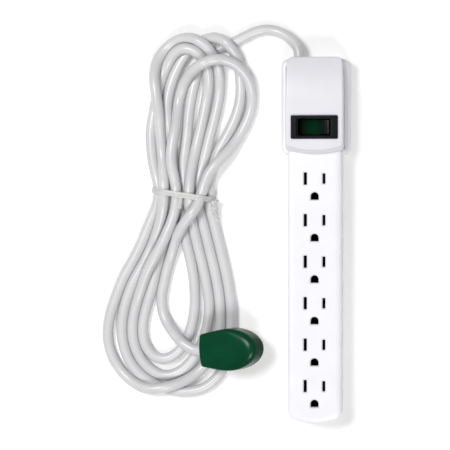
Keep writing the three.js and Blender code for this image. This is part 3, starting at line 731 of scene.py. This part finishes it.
def plug_underside(points):
    """Height of the plug's underside over each point, and one metre where the plug isn't above."""
    away = points[:, :2] - np.array(PLUG_LOW_CORNER)[:2]
    along = away[:, 0] * cos(PLUG_YAW) + away[:, 1] * sin(PLUG_YAW)
    across = away[:, 1] * cos(PLUG_YAW) - away[:, 0] * sin(PLUG_YAW)
    beside = abs(across) < PLUG_HALF_WIDTH + CORD_RADIUS
    under = (along > -CORD_RADIUS) & (along < PLUG_LENGTH) & beside
    height = PLUG_LOW_CORNER.z + np.maximum(along, 0) * tan(PLUG_LIFT)
    return np.where(under, height, 1.0)


def settle(route, held):
    """Lets the cord sink under its weight until it lies on the floor and on itself."""
    p = route.copy()
    count = len(p)
    index = np.arange(count)
    free = (~held)[:, None]
    for k in range(SETTLE_ROUNDS):
        if k % LOOK_EVERY == 0:
            gaps = np.linalg.norm(p[:, None] - p[None], axis=2)
            near = (gaps < NEAR) & (index[None] - index[:, None] > NEIGHBOURS)
            pairs = np.argwhere(near)
            a, b = pairs[:, 0], pairs[:, 1]
        drift = p[:, :2] - route[:, :2]
        move = np.zeros_like(p)
        move[:, 2] = -FAST_FALL if k < FAST_ROUNDS else -SLOW_FALL
        move[:, :2] = -PULL_BACK * drift
        for stride in BEND_STRIDES:
            move[:, 2] -= BEND_PUSH * stiffness(p[:, 2], stride)
            move[:, :2] -= BEND_PUSH * stiffness(drift, stride)
        p += move * free
        for _ in range(PUSHES):
            apart = p[b] - p[a]
            distance = np.linalg.norm(apart, axis=1)
            short = np.clip(CORD_DIAMETER - distance, 0, None)
            push = apart * (short / distance / 2)[:, None]
            total = np.zeros_like(p)
            touches = np.zeros(count)
            for ends, away in ((a, -push), (b, push)):
                np.add.at(total, ends, away)
                np.add.at(touches, ends, short > 0)
            p += total / np.maximum(1, touches / SHARED_PUSH)[:, None] * free
            lid = plug_underside(p) - CORD_RADIUS
            p[:, 2] = np.where(held, p[:, 2], np.clip(p[:, 2], CORD_RADIUS, lid))
    return evenly(p, CORD_STEP)


def cord_route():
    """The cord's path from inside the bushing, over the floor and its own turns, to inside the plug."""
    lead_in = [(x, y, CORD_RADIUS) for x, y in LEAD_IN]
    route = spline(LEAD_ROUTE + lead_in + hank_points() + TAIL_ROUTE, CORD_STEP)
    along = np.arange(len(route)) * CORD_STEP
    held = (along < HELD_START) | (along > along[-1] - HELD_END)
    held |= abs(route[:, 1] - WAIST_Y) < HELD_WAIST
    settled = settle(route, held)
    into_bushing = np.array((BUSHING_LOW.x + COLLAR_RADIUS, BUSHING_HIGH.y - 0.004, PARTING))
    into_plug = PLUG_MATRIX @ Vector((0.002, 0, PLUG_THICK / 2))
    return np.vstack([into_bushing, settled, into_plug])


def make_cord(route):
    fine = spline(route, FINE_STEP)
    data = bpy.data.curves.new("cord", "CURVE")
    data.dimensions = "3D"
    data.bevel_depth = CORD_RADIUS
    data.bevel_resolution = 7
    data.use_fill_caps = True
    line = data.splines.new("POLY")
    line.points.add(len(fine) - 1)
    line.points.foreach_set("co", np.column_stack([fine, np.ones(len(fine))]).ravel())
    line.use_smooth = True
    cord = new_object("cord", data)
    fit_out(cord, "cord_vinyl", "cord_lead", "cord_hank", "cord_tail")
    length = float(distances(fine)[-1])


# ---- shells


def body_outline(inset, high_y):
    """The long body in plan: straight sides and a lower end that bows out between two corners."""
    half = BODY_WIDTH / 2 - inset
    end_y = BODY_END + inset
    corner_x = half - END_CORNER
    arc_y = end_y + END_BULGE
    corner_y = arc_y + 2 * END_CORNER * END_BULGE / corner_x
    side_y = corner_y + END_CORNER
    points = [(half, high_y), (-half, high_y)]
    points += bend((-half, side_y), (-half, corner_y), (-corner_x, arc_y))
    points += bend((-corner_x, arc_y), (0, end_y - END_BULGE), (corner_x, arc_y), 18)
    points += bend((corner_x, arc_y), (half, corner_y), (half, side_y))
    return points + [(half, side_y)]


def head_outline(inset):
    return rounded_rectangle(HEAD_WIDTH / 2, HEAD_LOW_Y, HEAD_HIGH_Y, HEAD_CORNER, inset)


def stack(name, outline, levels):
    """A solid through one outline drawn at several heights, from (inset, height) pairs."""
    return loft(name, [level(outline(inset), height) for inset, height in levels])


def filleted_top(high, fillet, crown):
    """A wall's insets and heights: a chamfered foot, then a top edge fillet deep and crown wide."""
    over = [(inset * crown / fillet, high - fillet + rise) for inset, rise in round_over(fillet, 9)]
    return [(PARTING_CHAMFER, FRONT_LOW.z), (0, FRONT_LOW.z + PARTING_CHAMFER)] + over


def post(name, radius, x, y, low, high, sides=32):
    return turned(name, [(radius, low), (radius, high)], x, y, sides)


def cord_hole():
    return drill(CORD_HOLE_RADIUS, CORD_X, PARTING, HEAD_HIGH_Y, CORD_HOLE_REACH)


def outlet_levels(bottom):
    """An opening from below its shroud up through its chamfered rim."""
    rim = [(0, BODY_TOP - RIM_CHAMFER), (RIM_CHAMFER, BODY_TOP), (RIM_CHAMFER, BODY_TOP + OVERCUT)]
    return [(0, bottom - OVERCUT)] + rim


def slot_tool(x, y, size):
    half_x, half_y = size[0] / 2, size[1] / 2

    def outline(grow):
        corners = rounded_rectangle(half_x + grow, *about(y, half_y + grow), SLOT_CORNER)
        return [(x + u, v) for u, v in corners]

    return stack("slot", outline, outlet_levels(SLOT_SHROUD_BOTTOM))


def earth_hole_tool(y):
    def outline(grow):
        radius = EARTH_HOLE_RADIUS + grow
        flat_y = y - EARTH_HOLE_BOTTOM - grow
        return [(-radius, flat_y), (radius, flat_y)] + arc(0, y - EARTH_HOLE_DROP, radius, 0, 180, 25)

    return stack("earth hole", outline, outlet_levels(EARTH_SHROUD_BOTTOM))


def shroud(x, y, size, bottom):
    """The wall round an opening that guides a pin from the face down to its clip."""
    sides = [about(middle, width / 2 + SHROUD_WALL) for middle, width in zip((x, y), size)]
    return box("shroud", *sides, (bottom, BODY_TOP - WALL / 2))


def outlet_shrouds(y):
    shrouds = [shroud(x, y, size, SLOT_SHROUD_BOTTOM) for x, size in BLADE_SLOTS]
    return shrouds + [shroud(0, y - EARTH_DROP, EARTH_HOLE_SIZE, EARTH_SHROUD_BOTTOM)]


def outlet_tools(y):
    return [slot_tool(x, y, size) for x, size in BLADE_SLOTS] + [earth_hole_tool(y - EARTH_DROP)]


def at_outlets(make):
    """The solids that make gives for every outlet."""
    return [piece for k in range(OUTLETS) for piece in make(FIRST_OUTLET_Y - k * OUTLET_PITCH)]


def inner(tools):
    """Marks solids that hollow a shell out, so that the faces they leave take the inside's near-black
    painted shade.
    """
    for tool in tools:
        two_sided(tool, WHITE_SHELL)
        for face in tool.data.polygons:
            face.material_index = 1
    return tools


def two_sided(shell, outside):
    shell.data.materials.append(outside)
    # The second finish, for the inside faces, is the painted shade.
    shell.data.materials.append(INSIDE_PAINTED_SHADE)
    return shell


def two_part_shell(name, body_levels, head_levels):
    """The long body and the wider head in one solid."""
    body = stack(name, lambda inset: body_outline(inset, UNDER_HOOD_Y - inset), body_levels)
    head = stack("head", head_outline, head_levels)
    return two_sided(combine(body, [head], "UNION"), WHITE_SHELL)


def shell_hollows(low, body_high, head_high):
    """What leaves walls of even thickness round the body and the head."""
    body_levels = [(WALL, low), (WALL, body_high)]
    body = stack("body hollow", lambda inset: body_outline(inset, UNDER_HOOD_Y + OVERCUT), body_levels)
    return [body, stack("head hollow", head_outline, [(WALL, low), (WALL, head_high)])]


def hood_grooves():
    """The thin shadow gaps along both sides of the hood."""
    grooves = []
    for side in (-1, 1):
        edges = [side * (HOOD_WIDTH / 2 + reach) for reach in (-GROOVE_OVERLAP, GROOVE_WIDTH)]
        run = (GROOVE_START_Y, HEAD_HIGH_Y - HEAD_CORNER)
        grooves.append(box("groove", sorted(edges), run, (HEAD_TOP - GROOVE_DEPTH, HEAD_TOP + OVERCUT)))
    return grooves


def front_housing():
    low = FRONT_LOW.z
    body_levels = filleted_top(BODY_TOP, TOP_FILLET, TOP_CROWN)
    shell = two_part_shell("front_shell", body_levels, filleted_top(HEAD_TOP, HEAD_FILLET, HEAD_FILLET))
    opening_x = about(0, HEAD_OPENING_HALF)
    opening_y = (UNDER_HOOD_Y - OVERCUT, HEAD_OPENING_HIGH_Y)
    hollows = shell_hollows(low - OVERCUT, BODY_TOP - WALL, HEAD_TOP - WALL)
    hollows.append(box("switch opening", opening_x, opening_y, (low, HEAD_TOP + OVERCUT)))
    combine(shell, inner(hollows))
    bosses = []
    holes = []
    for x, y in SCREWS:
        ceiling = HEAD_TOP if y > HEAD_LOW_Y else BODY_TOP
        bosses.append(post("boss", FRONT_BOSS_RADIUS, x, y, low, ceiling - WALL / 2))
        holes.append(post("screw hole", SCREW_HOLE_RADIUS, x, y, low - OVERCUT, SCREW_HOLE_TOP, 16))
    combine(shell, inner(bosses + at_outlets(outlet_shrouds)), "UNION")
    combine(shell, inner(holes) + [cord_hole()] + at_outlets(outlet_tools) + hood_grooves())
    fit_out(shell, "white_shell", "front_housing")


def keyhole_tool(y):
    """A round hole and the narrow slot above it, in one outline."""
    half = KEYHOLE_NECK / 2
    meet = degrees(acos(half / KEYHOLE_RADIUS))
    head = arc(0, y, KEYHOLE_RADIUS, 180 - meet, 360 + meet, 41)
    neck_end = arc(0, y + KEYHOLE_TRAVEL, half, 0, 180, 13)
    return loft("keyhole", [level(head + neck_end, height) for height in (-OVERCUT, KEYHOLE_POCKET_TOP)])


def keyhole_pocket(y):
    margin = KEYHOLE_RADIUS + KEYHOLE_POCKET_WALL
    run = (y - margin, y + KEYHOLE_TRAVEL + KEYHOLE_NECK / 2 + KEYHOLE_POCKET_WALL)
    return box("pocket", about(0, margin), run, (WALL / 2, KEYHOLE_POCKET_TOP + OVERCUT))


def bar_ribs():
    """Ribs that keep the three bars apart and carry them."""
    bar_low, bar_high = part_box("bus_bar_earth")
    run = (bar_low.y - 0.002, bar_high.y - 0.005)
    ribs = []
    for x in (-BAR_RIB_X, BAR_RIB_X):
        ribs.append(box("rib", about(x, BAR_RIB_THICK / 2), run, (WALL / 2, PARTING - 0.001)))
    for k in range(OUTLETS - 1):
        thick = about(FIRST_OUTLET_Y - (k + CROSS_RIB_PLACE) * OUTLET_PITCH, CROSS_RIB_THICK / 2)
        ribs.append(box("rib", about(0, CROSS_RIB_REACH), thick, (WALL / 2, CROSS_RIB_TOP)))
    return ribs


def rear_housing():
    foot = [(inset, BOTTOM_FILLET - rise) for inset, rise in round_over(BOTTOM_FILLET, 5)]
    levels = foot[::-1] + [(0, PARTING - PARTING_CHAMFER), (PARTING_CHAMFER, PARTING)]
    shell = two_part_shell("rear_shell", levels, levels)
    high = PARTING + OVERCUT
    combine(shell, inner(shell_hollows(WALL, high, high)))
    fittings = [post("boss", REAR_BOSS_RADIUS, x, y, WALL / 2, PARTING - 0.0001) for x, y in SCREWS]
    fittings += bar_ribs() + [keyhole_pocket(y) for y in KEYHOLE_YS]
    combine(shell, inner(fittings), "UNION")
    tools = [cord_hole()]
    for x, y in SCREWS:
        tools.append(post("recess", SCREW_HEAD_RADIUS + GAP, x, y, -OVERCUT, SCREW_HEAD_TOP + 0.0002))
        tools.append(post("clearance", SCREW_HOLE_RADIUS, x, y, WALL / 2, high, 16))
    tools += [keyhole_tool(y) for y in KEYHOLE_YS]
    combine(shell, tools)
    fit_out(shell, "white_shell", "rear_housing")


def hood_outline(inset, lower_end):
    """The hood in plan; the ends of its bowed lower edge are rounded into its sides."""
    half = HOOD_WIDTH / 2 - inset
    high_y = HOOD_HIGH.y - inset
    radius = HOOD_CORNER - inset
    side_y = lower_end + HOOD_SIDE_RISE
    round_end = side_y + HOOD_END_ROUND
    left = (-half + 0.9 * HOOD_END_ROUND, side_y - 0.3 * HOOD_END_ROUND)
    right = (-left[0], left[1])
    points = arc(half - radius, high_y - radius, radius, 0, 90)
    points += arc(radius - half, high_y - radius, radius, 90, 180)
    points += bend((-half, round_end), (-half, side_y), left, 6)
    points += bend(left, (0, 2 * lower_end - left[1]), right, 24)
    points += bend(right, (half, side_y), (half, round_end), 6)
    return points + [(half, round_end)]


def hood_skin():
    """Upright walls, a sloped lower end and a top edge rounded all the way round."""
    foot = hood_outline(0, HOOD_FOOT_Y)
    rings = [level(foot, HOOD_LOW.z), level(foot, BODY_TOP)]
    for inset, rise in round_over(HOOD_FILLET):
        height = HOOD_HIGH.z - HOOD_FILLET + rise
        climb = (height - BODY_TOP) / (HOOD_HIGH.z - BODY_TOP)
        rings.append(level(hood_outline(inset, HOOD_FOOT_Y + HOOD_SLOPE * climb), height))
    return loft("hood_cover", rings)


def droop(obj):
    """Lets the hood fall away and narrow a little towards the cord end."""
    bm = bmesh.new()
    bm.from_mesh(obj.data)
    for y in np.linspace(DROOP_START, HOOD_HIGH.y - 0.0005, 14):
        everything = bm.verts[:] + bm.edges[:] + bm.faces[:]
        bmesh.ops.bisect_plane(bm, geom=everything, dist=1e-7, plane_co=(0, y, 0), plane_no=(0, 1, 0))
    for vert in bm.verts:
        share = max(0.0, (vert.co.y - DROOP_START) / (HOOD_HIGH.y - DROOP_START))
        lift = (vert.co.z - HOOD_LOW.z) / (HOOD_HIGH.z - HOOD_LOW.z)
        vert.co.z -= DROOP_FALL * share**2 * lift
        vert.co.x *= 1 - DROOP_TAPER * share**1.5
    bm.to_mesh(obj.data)
    bm.free()


def switch_hood():
    hood = hood_skin()
    droop(hood)
    two_sided(hood, HOOD_SHELL)
    low = HOOD_LOW.z - OVERCUT
    hollow_y = (HOOD_INNER_LOW_Y, HOOD_HIGH.y - WALL)
    main_hollow = box("hollow", about(0, HOOD_WIDTH / 2 - WALL), hollow_y, (low, HOOD_HIGH.z - WALL))
    droop(main_hollow)
    body_y = (HOOD_FOOT_Y - 0.005, HOOD_INNER_LOW_Y + OVERCUT)
    over_body = box("over body", about(0, BODY_WIDTH / 2 + GAP), body_y, (low, BODY_TOP + GAP))
    case_x, case_y = SWITCH_CASE[0] / 2 + GAP, SWITCH_CASE[1] / 2 + GAP
    opening_z = (HOOD_OPENING_LOW, HOOD_HIGH.z + OVERCUT)
    opening = box("opening", about(0, case_x), about(SWITCH_Y, case_y), opening_z)
    combine(hood, inner([main_hollow, over_body, opening]))
    fit_out(hood, "hood_shell", "switch_hood")


# ---- screws


def housing_screws():
    """The six screws, each with a crossed recess in the head that faces the floor."""
    screw_low, screw_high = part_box("housing_screw_1")
    head_low, tip = screw_low.z, screw_high.z
    arm, slot = SCREW_CROSS
    for k, (x, y) in enumerate(sorted(SCREWS, key=lambda screw: (-screw[1], screw[0])), 1):
        profile = [
            (0.002, head_low), (0.0024, head_low + 0.0002),
            (SCREW_HEAD_RADIUS, head_low + 0.0006), (SCREW_HEAD_RADIUS, SCREW_HEAD_TOP),
            (0.0013, SCREW_HEAD_TOP), (0.0013, tip - 0.001), (0.0006, tip),
        ]
        screw = turned(f"screw_{k}", profile, x, y)
        depth = (head_low - OVERCUT, head_low + 0.001)
        arms = ((arm, slot), (slot, arm))
        combine(screw, [box("slot", about(x, u), about(y, v), depth) for u, v in arms])
        fit_out(screw, "screw_steel", f"housing_screw_{k}")


# ---- switch


def switch_frame():
    """The bezel and, in one moulding with it, the walls of the switch's case."""
    half_x, half_y = (BEZEL_HIGH.x - BEZEL_LOW.x) / 2, (BEZEL_HIGH.y - BEZEL_LOW.y) / 2
    case_x, case_y = SWITCH_CASE[0] / 2, SWITCH_CASE[1] / 2
    well_x, well_y = SWITCH_WELL[0] / 2, SWITCH_WELL[1] / 2
    lip_x, lip_y = well_x + 0.0011, well_y + 0.0005
    top, seat, low = BEZEL_HIGH.z, HOOD_HIGH.z + GAP, BEZEL_LOW.z
    edge = 0.0004
    # Half sizes, corner and height, up the case's outside, over the bezel and down the well.
    sections = [
        (case_x, case_y, 0.0005, low),
        (case_x, case_y, 0.0005, seat),
        (half_x, half_y, 0.0009, seat),
        (half_x, half_y, 0.0009, top - edge),
        (half_x - 0.3 * edge, half_y - 0.3 * edge, 0.0008, top - 0.3 * edge),
        (half_x - edge, half_y - edge, 0.0006, top),
        (well_x + 0.0014, well_y + 0.0008, 0.0008, top),
        (lip_x, lip_y, 0.0007, top - 0.0003),
        (lip_x, lip_y, 0.0007, top - 0.0008),
        (well_x + 0.0002, well_y + 0.0002, 0.0006, top - 0.0009),
        (well_x, well_y, 0.0005, top - 0.0012),
        (well_x, well_y, 0.0005, low),
    ]
    rings = []
    for x, y, corner, height in sections:
        rings.append(level(rounded_rectangle(x, *about(SWITCH_Y, y), corner, pieces=4), height))
    bezel = loft("switch_frame", rings, looped=True)
    combine(bezel, [drill(TRUNNION_RADIUS + GAP, 0, ROCKER_PIVOT.z, SWITCH_Y, 0.01, 32)])
    fit_out(bezel, "black_plastic", "switch_bezel")


def rocker_profile():
    """The rocker's side view about its pivot: a hollowed top between two crests, arcs at both ends."""
    crest_angle = degrees(asin(ROCKER_CREST / ROCKER_RADIUS))
    skirt_angle = degrees(asin(ROCKER_SKIRT / ROCKER_RADIUS))
    crest_x = ROCKER_RADIUS * cos(radians(crest_angle))
    right = arc(0, 0, ROCKER_RADIUS, skirt_angle, crest_angle, 14)
    top = []
    for x in np.linspace(crest_x, -crest_x, 25)[1:-1]:
        top.append((x, ROCKER_VALLEY + (ROCKER_CREST - ROCKER_VALLEY) * abs(x / crest_x) ** 1.5))
    left = [(-x, z) for x, z in reversed(right)]
    foot_x, foot_z = ROCKER_FOOT
    return right + top + left + [(-foot_x, foot_z), (foot_x, foot_z)]


def rocker_cap():
    points, normals = inward(rocker_profile())
    flat = ROCKER_WIDTH / 2 - ROCKER_EDGE
    near = [(inset, flat + rise) for inset, rise in round_over(ROCKER_EDGE, 4)]
    far = [(inset, -y) for inset, y in reversed(near)]
    rings = []
    for inset, y in far + near:
        rings.append([(x, y, z) for x, z in points + normals * inset])
    cap = loft("rocker_lens", rings)
    reach = SWITCH_CASE[1] / 2 - 0.0001
    ends = [(TRUNNION_RADIUS, reach - TRUNNION_CHAMFER), (TRUNNION_RADIUS - TRUNNION_CHAMFER, reach)]
    trunnions = [(radius, -y) for radius, y in reversed(ends)] + ends
    combine(cap, [turned("trunnions", trunnions, 0, 0, 32, along_y=True)], "UNION")
    cap.data.transform(Matrix.Translation(ROCKER_PIVOT) @ Matrix.Rotation(ROCKER_REST, 4, "Y"))
    fit_out(cap, "green_lens", "rocker", body="rocker", sharp_degrees=40)


# ---- bushing, plug, tie


def bushing():
    """The sleeve whose collar the two shells grip."""
    low, high = BUSHING_LOW.y, BUSHING_HIGH.y
    collar, neck, edge = COLLAR_RADIUS, BUSHING_NECK_RADIUS, COLLAR_CHAMFER
    profile = [
        (BUSHING_TAIL_RADII[0], low), (BUSHING_TAIL_RADII[1], COLLAR_LOW_Y),
        (collar - edge, COLLAR_LOW_Y), (collar, COLLAR_LOW_Y + edge),
        (collar, COLLAR_HIGH_Y - edge), (collar - edge, COLLAR_HIGH_Y),
        (neck, COLLAR_HIGH_Y), (neck, high - 0.0006),
        (neck - 0.0002, high - 0.0002), (neck - 0.0007, high),
    ]
    sleeve = turned("bushing_sleeve", profile, CORD_X, PARTING, along_y=True)
    return fit_out(sleeve, "cord_vinyl", "cord_bushing")


PLUG_CORD_HALF = 0.0108
PLUG_CORNER = 0.0009
PLUG_ROUND = 0.001
PLUG_FOOT_ROUND = 0.0009
PLUG_CROWN_START = 0.01
PLUG_CROWN_RUN = 0.024
PLUG_CROWN_REACH = 0.0054
PLUG_CROWN_DROP = 0.0026
PLUG_DRAFT = 0.002


def plug_outline():
    """The plug in plan: a bulged cord end, sides that fan out, then half an ellipse."""
    half = PLUG_HALF_WIDTH
    shoulder = PLUG_LENGTH / 2
    reach = PLUG_LENGTH - shoulder
    first = (-0.0003, PLUG_CORNER - PLUG_CORD_HALF)
    side = (PLUG_CORNER, -PLUG_CORD_HALF - 0.0004)
    above_corner = (0.0, 0.7 * PLUG_CORNER - PLUG_CORD_HALF)
    lower = [first] + bend(above_corner, (0.0001, -PLUG_CORD_HALF - 0.0001), side, 6)[1:]
    lower += bend(side, (0.72 * shoulder, -half), (shoulder, -half), 16)
    angles = np.linspace(-pi / 2, pi / 2, 49)
    end = [(shoulder + reach * cos(a), half * sin(a)) for a in angles]
    upper = [(x, -y) for x, y in reversed(lower)]
    return lower + end + upper + bend(upper[-1], (-0.0022, 0.0), first, 12)[1:]


def plug_shell():
    """The moulding, whose top is rounded over more widely towards its far end."""
    points, normals = inward(plug_outline())
    along = np.clip((points[:, 0] - PLUG_CROWN_START) / PLUG_CROWN_RUN, 0, 1)
    towards_end = along * along * (3 - 2 * along)
    draft = PLUG_DRAFT * towards_end
    top_reach = PLUG_ROUND + PLUG_CROWN_REACH * towards_end
    top_drop = PLUG_ROUND + PLUG_CROWN_DROP * towards_end
    foot_radius = np.full(len(points), PLUG_FOOT_ROUND)

    def ring(inset, height):
        moved = points + normals * inset[:, None]
        moved[:, 0] -= draft * height / PLUG_THICK
        return [(x, y, z) for (x, y), z in zip(moved, height)]

    rings = []
    for inset, rise in round_over(1, 4):
        rings.append(ring(foot_radius * (1 - rise), foot_radius * inset))
    for inset, rise in round_over(1, 12):
        rings.append(ring(top_reach * inset, PLUG_THICK - top_drop * (1 - rise)))
    plug = loft("plug_moulding", rings)
    pockets = [blade_solid("pocket", y, GAP) for y in (-SLOT_X, SLOT_X)]
    combine(plug, pockets + [earth_pin_solid("pocket", GAP)])
    plug.data.transform(PLUG_MATRIX)
    return fit_out(plug, "plug_vinyl", "plug_body", sharp_degrees=40)


def blade_solid(name, y, extra=0.0):
    half_x, half_y = BLADE_WIDTH / 2 + extra, BLADE_THICK / 2 + extra
    tip = -BLADE_LENGTH
    levels = [(0.0006, tip), (0.0001, tip + 0.0008), (0, tip + 0.0016), (0, PIN_ROOT + extra)]
    rings = []
    for inset, height in levels:
        corners = rounded_rectangle(half_x - inset, *about(y, half_y - inset), SMALLEST_CORNER)
        rings.append([(BLADE_X + u, v, height) for u, v in corners])
    return loft(name, rings)


def earth_pin_solid(name, extra=0.0):
    radius = EARTH_PIN_RADIUS + extra
    angles = np.linspace(0.15, pi / 2, 9)
    tip = [(radius * sin(a), -EARTH_PIN_LENGTH + radius * (1 - cos(a))) for a in angles]
    return turned(name, tip + [(radius, PIN_ROOT + extra)], BLADE_X + EARTH_DROP, 0)


def plug_pins():
    pins = []
    for y, node in ((SLOT_X, "plug_blade_hot"), (-SLOT_X, "plug_blade_neutral")):
        blade = blade_solid(node.replace("plug_", "pin_"), y)
        combine(blade, [drill(BLADE_HOLE_RADIUS, BLADE_X, -BLADE_HOLE_DEPTH, y, 0.003, 24)])
        pins.append((blade, node))
    pins.append((earth_pin_solid("pin_earth"), "plug_earth_pin"))
    for pin, node in pins:
        pin.data.transform(PLUG_MATRIX)
        fit_out(pin, "brass", node)
    return [pin for pin, node in pins]


TIE_CENTRE = Vector((-0.0936, 0.031, 0))
TIE_SLANT = radians(-9)
TIE_ALONG = Vector((cos(TIE_SLANT), sin(TIE_SLANT), 0))
TIE_BESIDE = Vector((-sin(TIE_SLANT), cos(TIE_SLANT), 0))
UP = Vector((0, 0, 1))
TIE_REACH = 0.028
TIE_WIDTH = 0.0037
TIE_CLEARANCE = 0.00022
TIE_FLOOR_GAP = 0.0001
PAPER_BOTTOM = -0.00012
PAPER_EDGE = 0.00014
# Distances from the paper's middle and heights, where it rises over the wire in it.
PAPER_TOP = [(0.00055, 0.00016), (0.0003, 0.0004), (0, 0.0005)]
FREE_END_LENGTH = 0.0085
FREE_END_DROP = 0.003
FREE_END_WIDTH = 0.0022
TWISTS = 1.1
TWIST_LENGTH = 0.0125
TWIST_RADIUS = 0.0029
TIP_LENGTH = 0.0048
TIP_WIDTH = 0.0026
TIP_LEANS = (-0.55, 0.45)


def strands_through_tie(path):
    """Where the cord passes under the tie's two edges and its middle, as (distance along, height)."""
    away = path[:, :2] - np.array(TIE_CENTRE)[:2]
    along = away @ np.array(TIE_ALONG)[:2]
    beside = away @ np.array(TIE_BESIDE)[:2]
    places = []
    for offset in (-TIE_WIDTH / 2, 0, TIE_WIDTH / 2):
        across = beside - offset
        for k in np.flatnonzero((across[:-1] * across[1:] < 0) & (abs(along[:-1]) < TIE_REACH)):
            share = across[k] / (across[k] - across[k + 1])
            height = path[k, 2] + share * (path[k + 1, 2] - path[k, 2])
            places.append((along[k] + share * (along[k + 1] - along[k]), height))
    return np.array(places)


def ribbon(name, stations, width, looped=False):
    """A paper strip with a wire down its middle, from (centre, direction across it, direction out)."""
    half = width / 2
    right = [(half, PAPER_BOTTOM), (half, PAPER_EDGE)] + PAPER_TOP
    left = [(-a, o) for a, o in reversed(right[1:-1])]
    section = [(-half, PAPER_BOTTOM)] + right + left
    rings = [[centre + across * a + out * o for a, o in section] for centre, across, out in stations]
    strip = loft(name, rings, looped=looped)
    for vert in strip.data.vertices:
        vert.co.z = max(vert.co.z, TIE_FLOOR_GAP)
    return strip


def rucked(out, k):
    """A strip's two directions where it is slightly creased, given the way out of what it wraps."""
    ruck = 0.12 * sin(0.55 * k) + 0.06 * sin(1.3 * k)
    across = (TIE_BESIDE + out * ruck).normalized()
    return across, (out - across * out.dot(across)).normalized()


def tie_band(places):
    """The tight loop of the tie round all the strands."""
    stations = []
    for k, angle in enumerate(full_turn(144)):
        flat_out = np.array((cos(angle), sin(angle)))
        along, height = places[np.argmax(places @ flat_out)] + flat_out * (CORD_RADIUS + TIE_CLEARANCE)
        out = TIE_ALONG * flat_out[0] + UP * flat_out[1]
        centre = TIE_CENTRE + TIE_ALONG * along + UP * height
        stations.append((centre, *rucked(out, k)))
    return ribbon("tie_wrap", stations, TIE_WIDTH, looped=True)


def tie_free_end(places):
    """A short end that lies in the hollow between two strands."""
    top = places[:, 1].max() + CORD_RADIUS - 0.0006
    start = TIE_CENTRE + TIE_ALONG * 0.0008
    stations = []
    for share in np.linspace(0, 1, 12):
        height = top - FREE_END_DROP * share**1.5
        centre = start - TIE_BESIDE * (0.001 + FREE_END_LENGTH * share) + UP * height
        lean = Vector((0.25 * sin(2 * share), 0, 1)).normalized()
        across = (TIE_ALONG - lean * TIE_ALONG.dot(lean)).normalized()
        stations.append((centre, across, lean))
    return ribbon("tie_end", stations, FREE_END_WIDTH)


def tie_twist(places):
    """The two ends twisted into one crumpled stem beside the hank, with splayed tips."""
    edge = places[:, 0].max() + CORD_RADIUS
    start = TIE_CENTRE + TIE_ALONG * (edge + 0.0006) + UP * 0.0098
    run = (-TIE_BESIDE + TIE_ALONG * 0.1 - UP * 0.22).normalized()
    side = run.cross(UP).normalized()
    up = side.cross(run)
    rings = []
    for share in np.linspace(0, 1, 36):
        middle = start + run * TWIST_LENGTH * share + side * 0.0006 * sin(5 * share)
        size = TWIST_RADIUS * (1 - 0.3 * share + 0.06 * sin(11 * share))
        turn = 2 * pi * TWISTS * share
        ring = []
        for angle in full_turn(32):
            reach = size * (0.78 + 0.22 * cos(2 * angle))
            ring.append(middle + (side * cos(angle + turn) + up * sin(angle + turn)) * reach)
        rings.append(ring)
    pieces = [loft("tie_stem", rings)]
    for lean in TIP_LEANS:
        stations = []
        for share in np.linspace(0, 1, 8):
            heading = (run + side * lean * (0.4 + share)).normalized()
            out = (up + heading * 0.2 * lean).normalized()
            centre = start + run * TWIST_LENGTH * 0.94 + heading * TIP_LENGTH * share
            stations.append((centre, out.cross(heading).normalized(), out))
        pieces.append(ribbon("tie_tip", stations, TIP_WIDTH))
    return pieces


def cord_tie(path):
    """The whole tie in one piece: band, free end, stem and tips."""
    places = strands_through_tie(path)
    pieces = [tie_band(places), tie_free_end(places)] + tie_twist(places)
    joined = bmesh.new()
    for piece in pieces:
        joined.from_mesh(piece.data)
    tie = pieces[0]
    joined.to_mesh(tie.data)
    joined.free()
    for piece in pieces[1:]:
        bpy.data.objects.remove(piece)
    return fit_out(tie, "tie_paper", "cord_tie", sharp_degrees=60)


# ---- build

dress_frame()
make_camera()
make_studio()
route = cord_route()
on_cord = [bushing(), plug_shell(), *plug_pins(), cord_tie(route)]
make_cord(route)
front_housing()
rear_housing()
switch_hood()
housing_screws()
switch_frame()
rocker_cap()
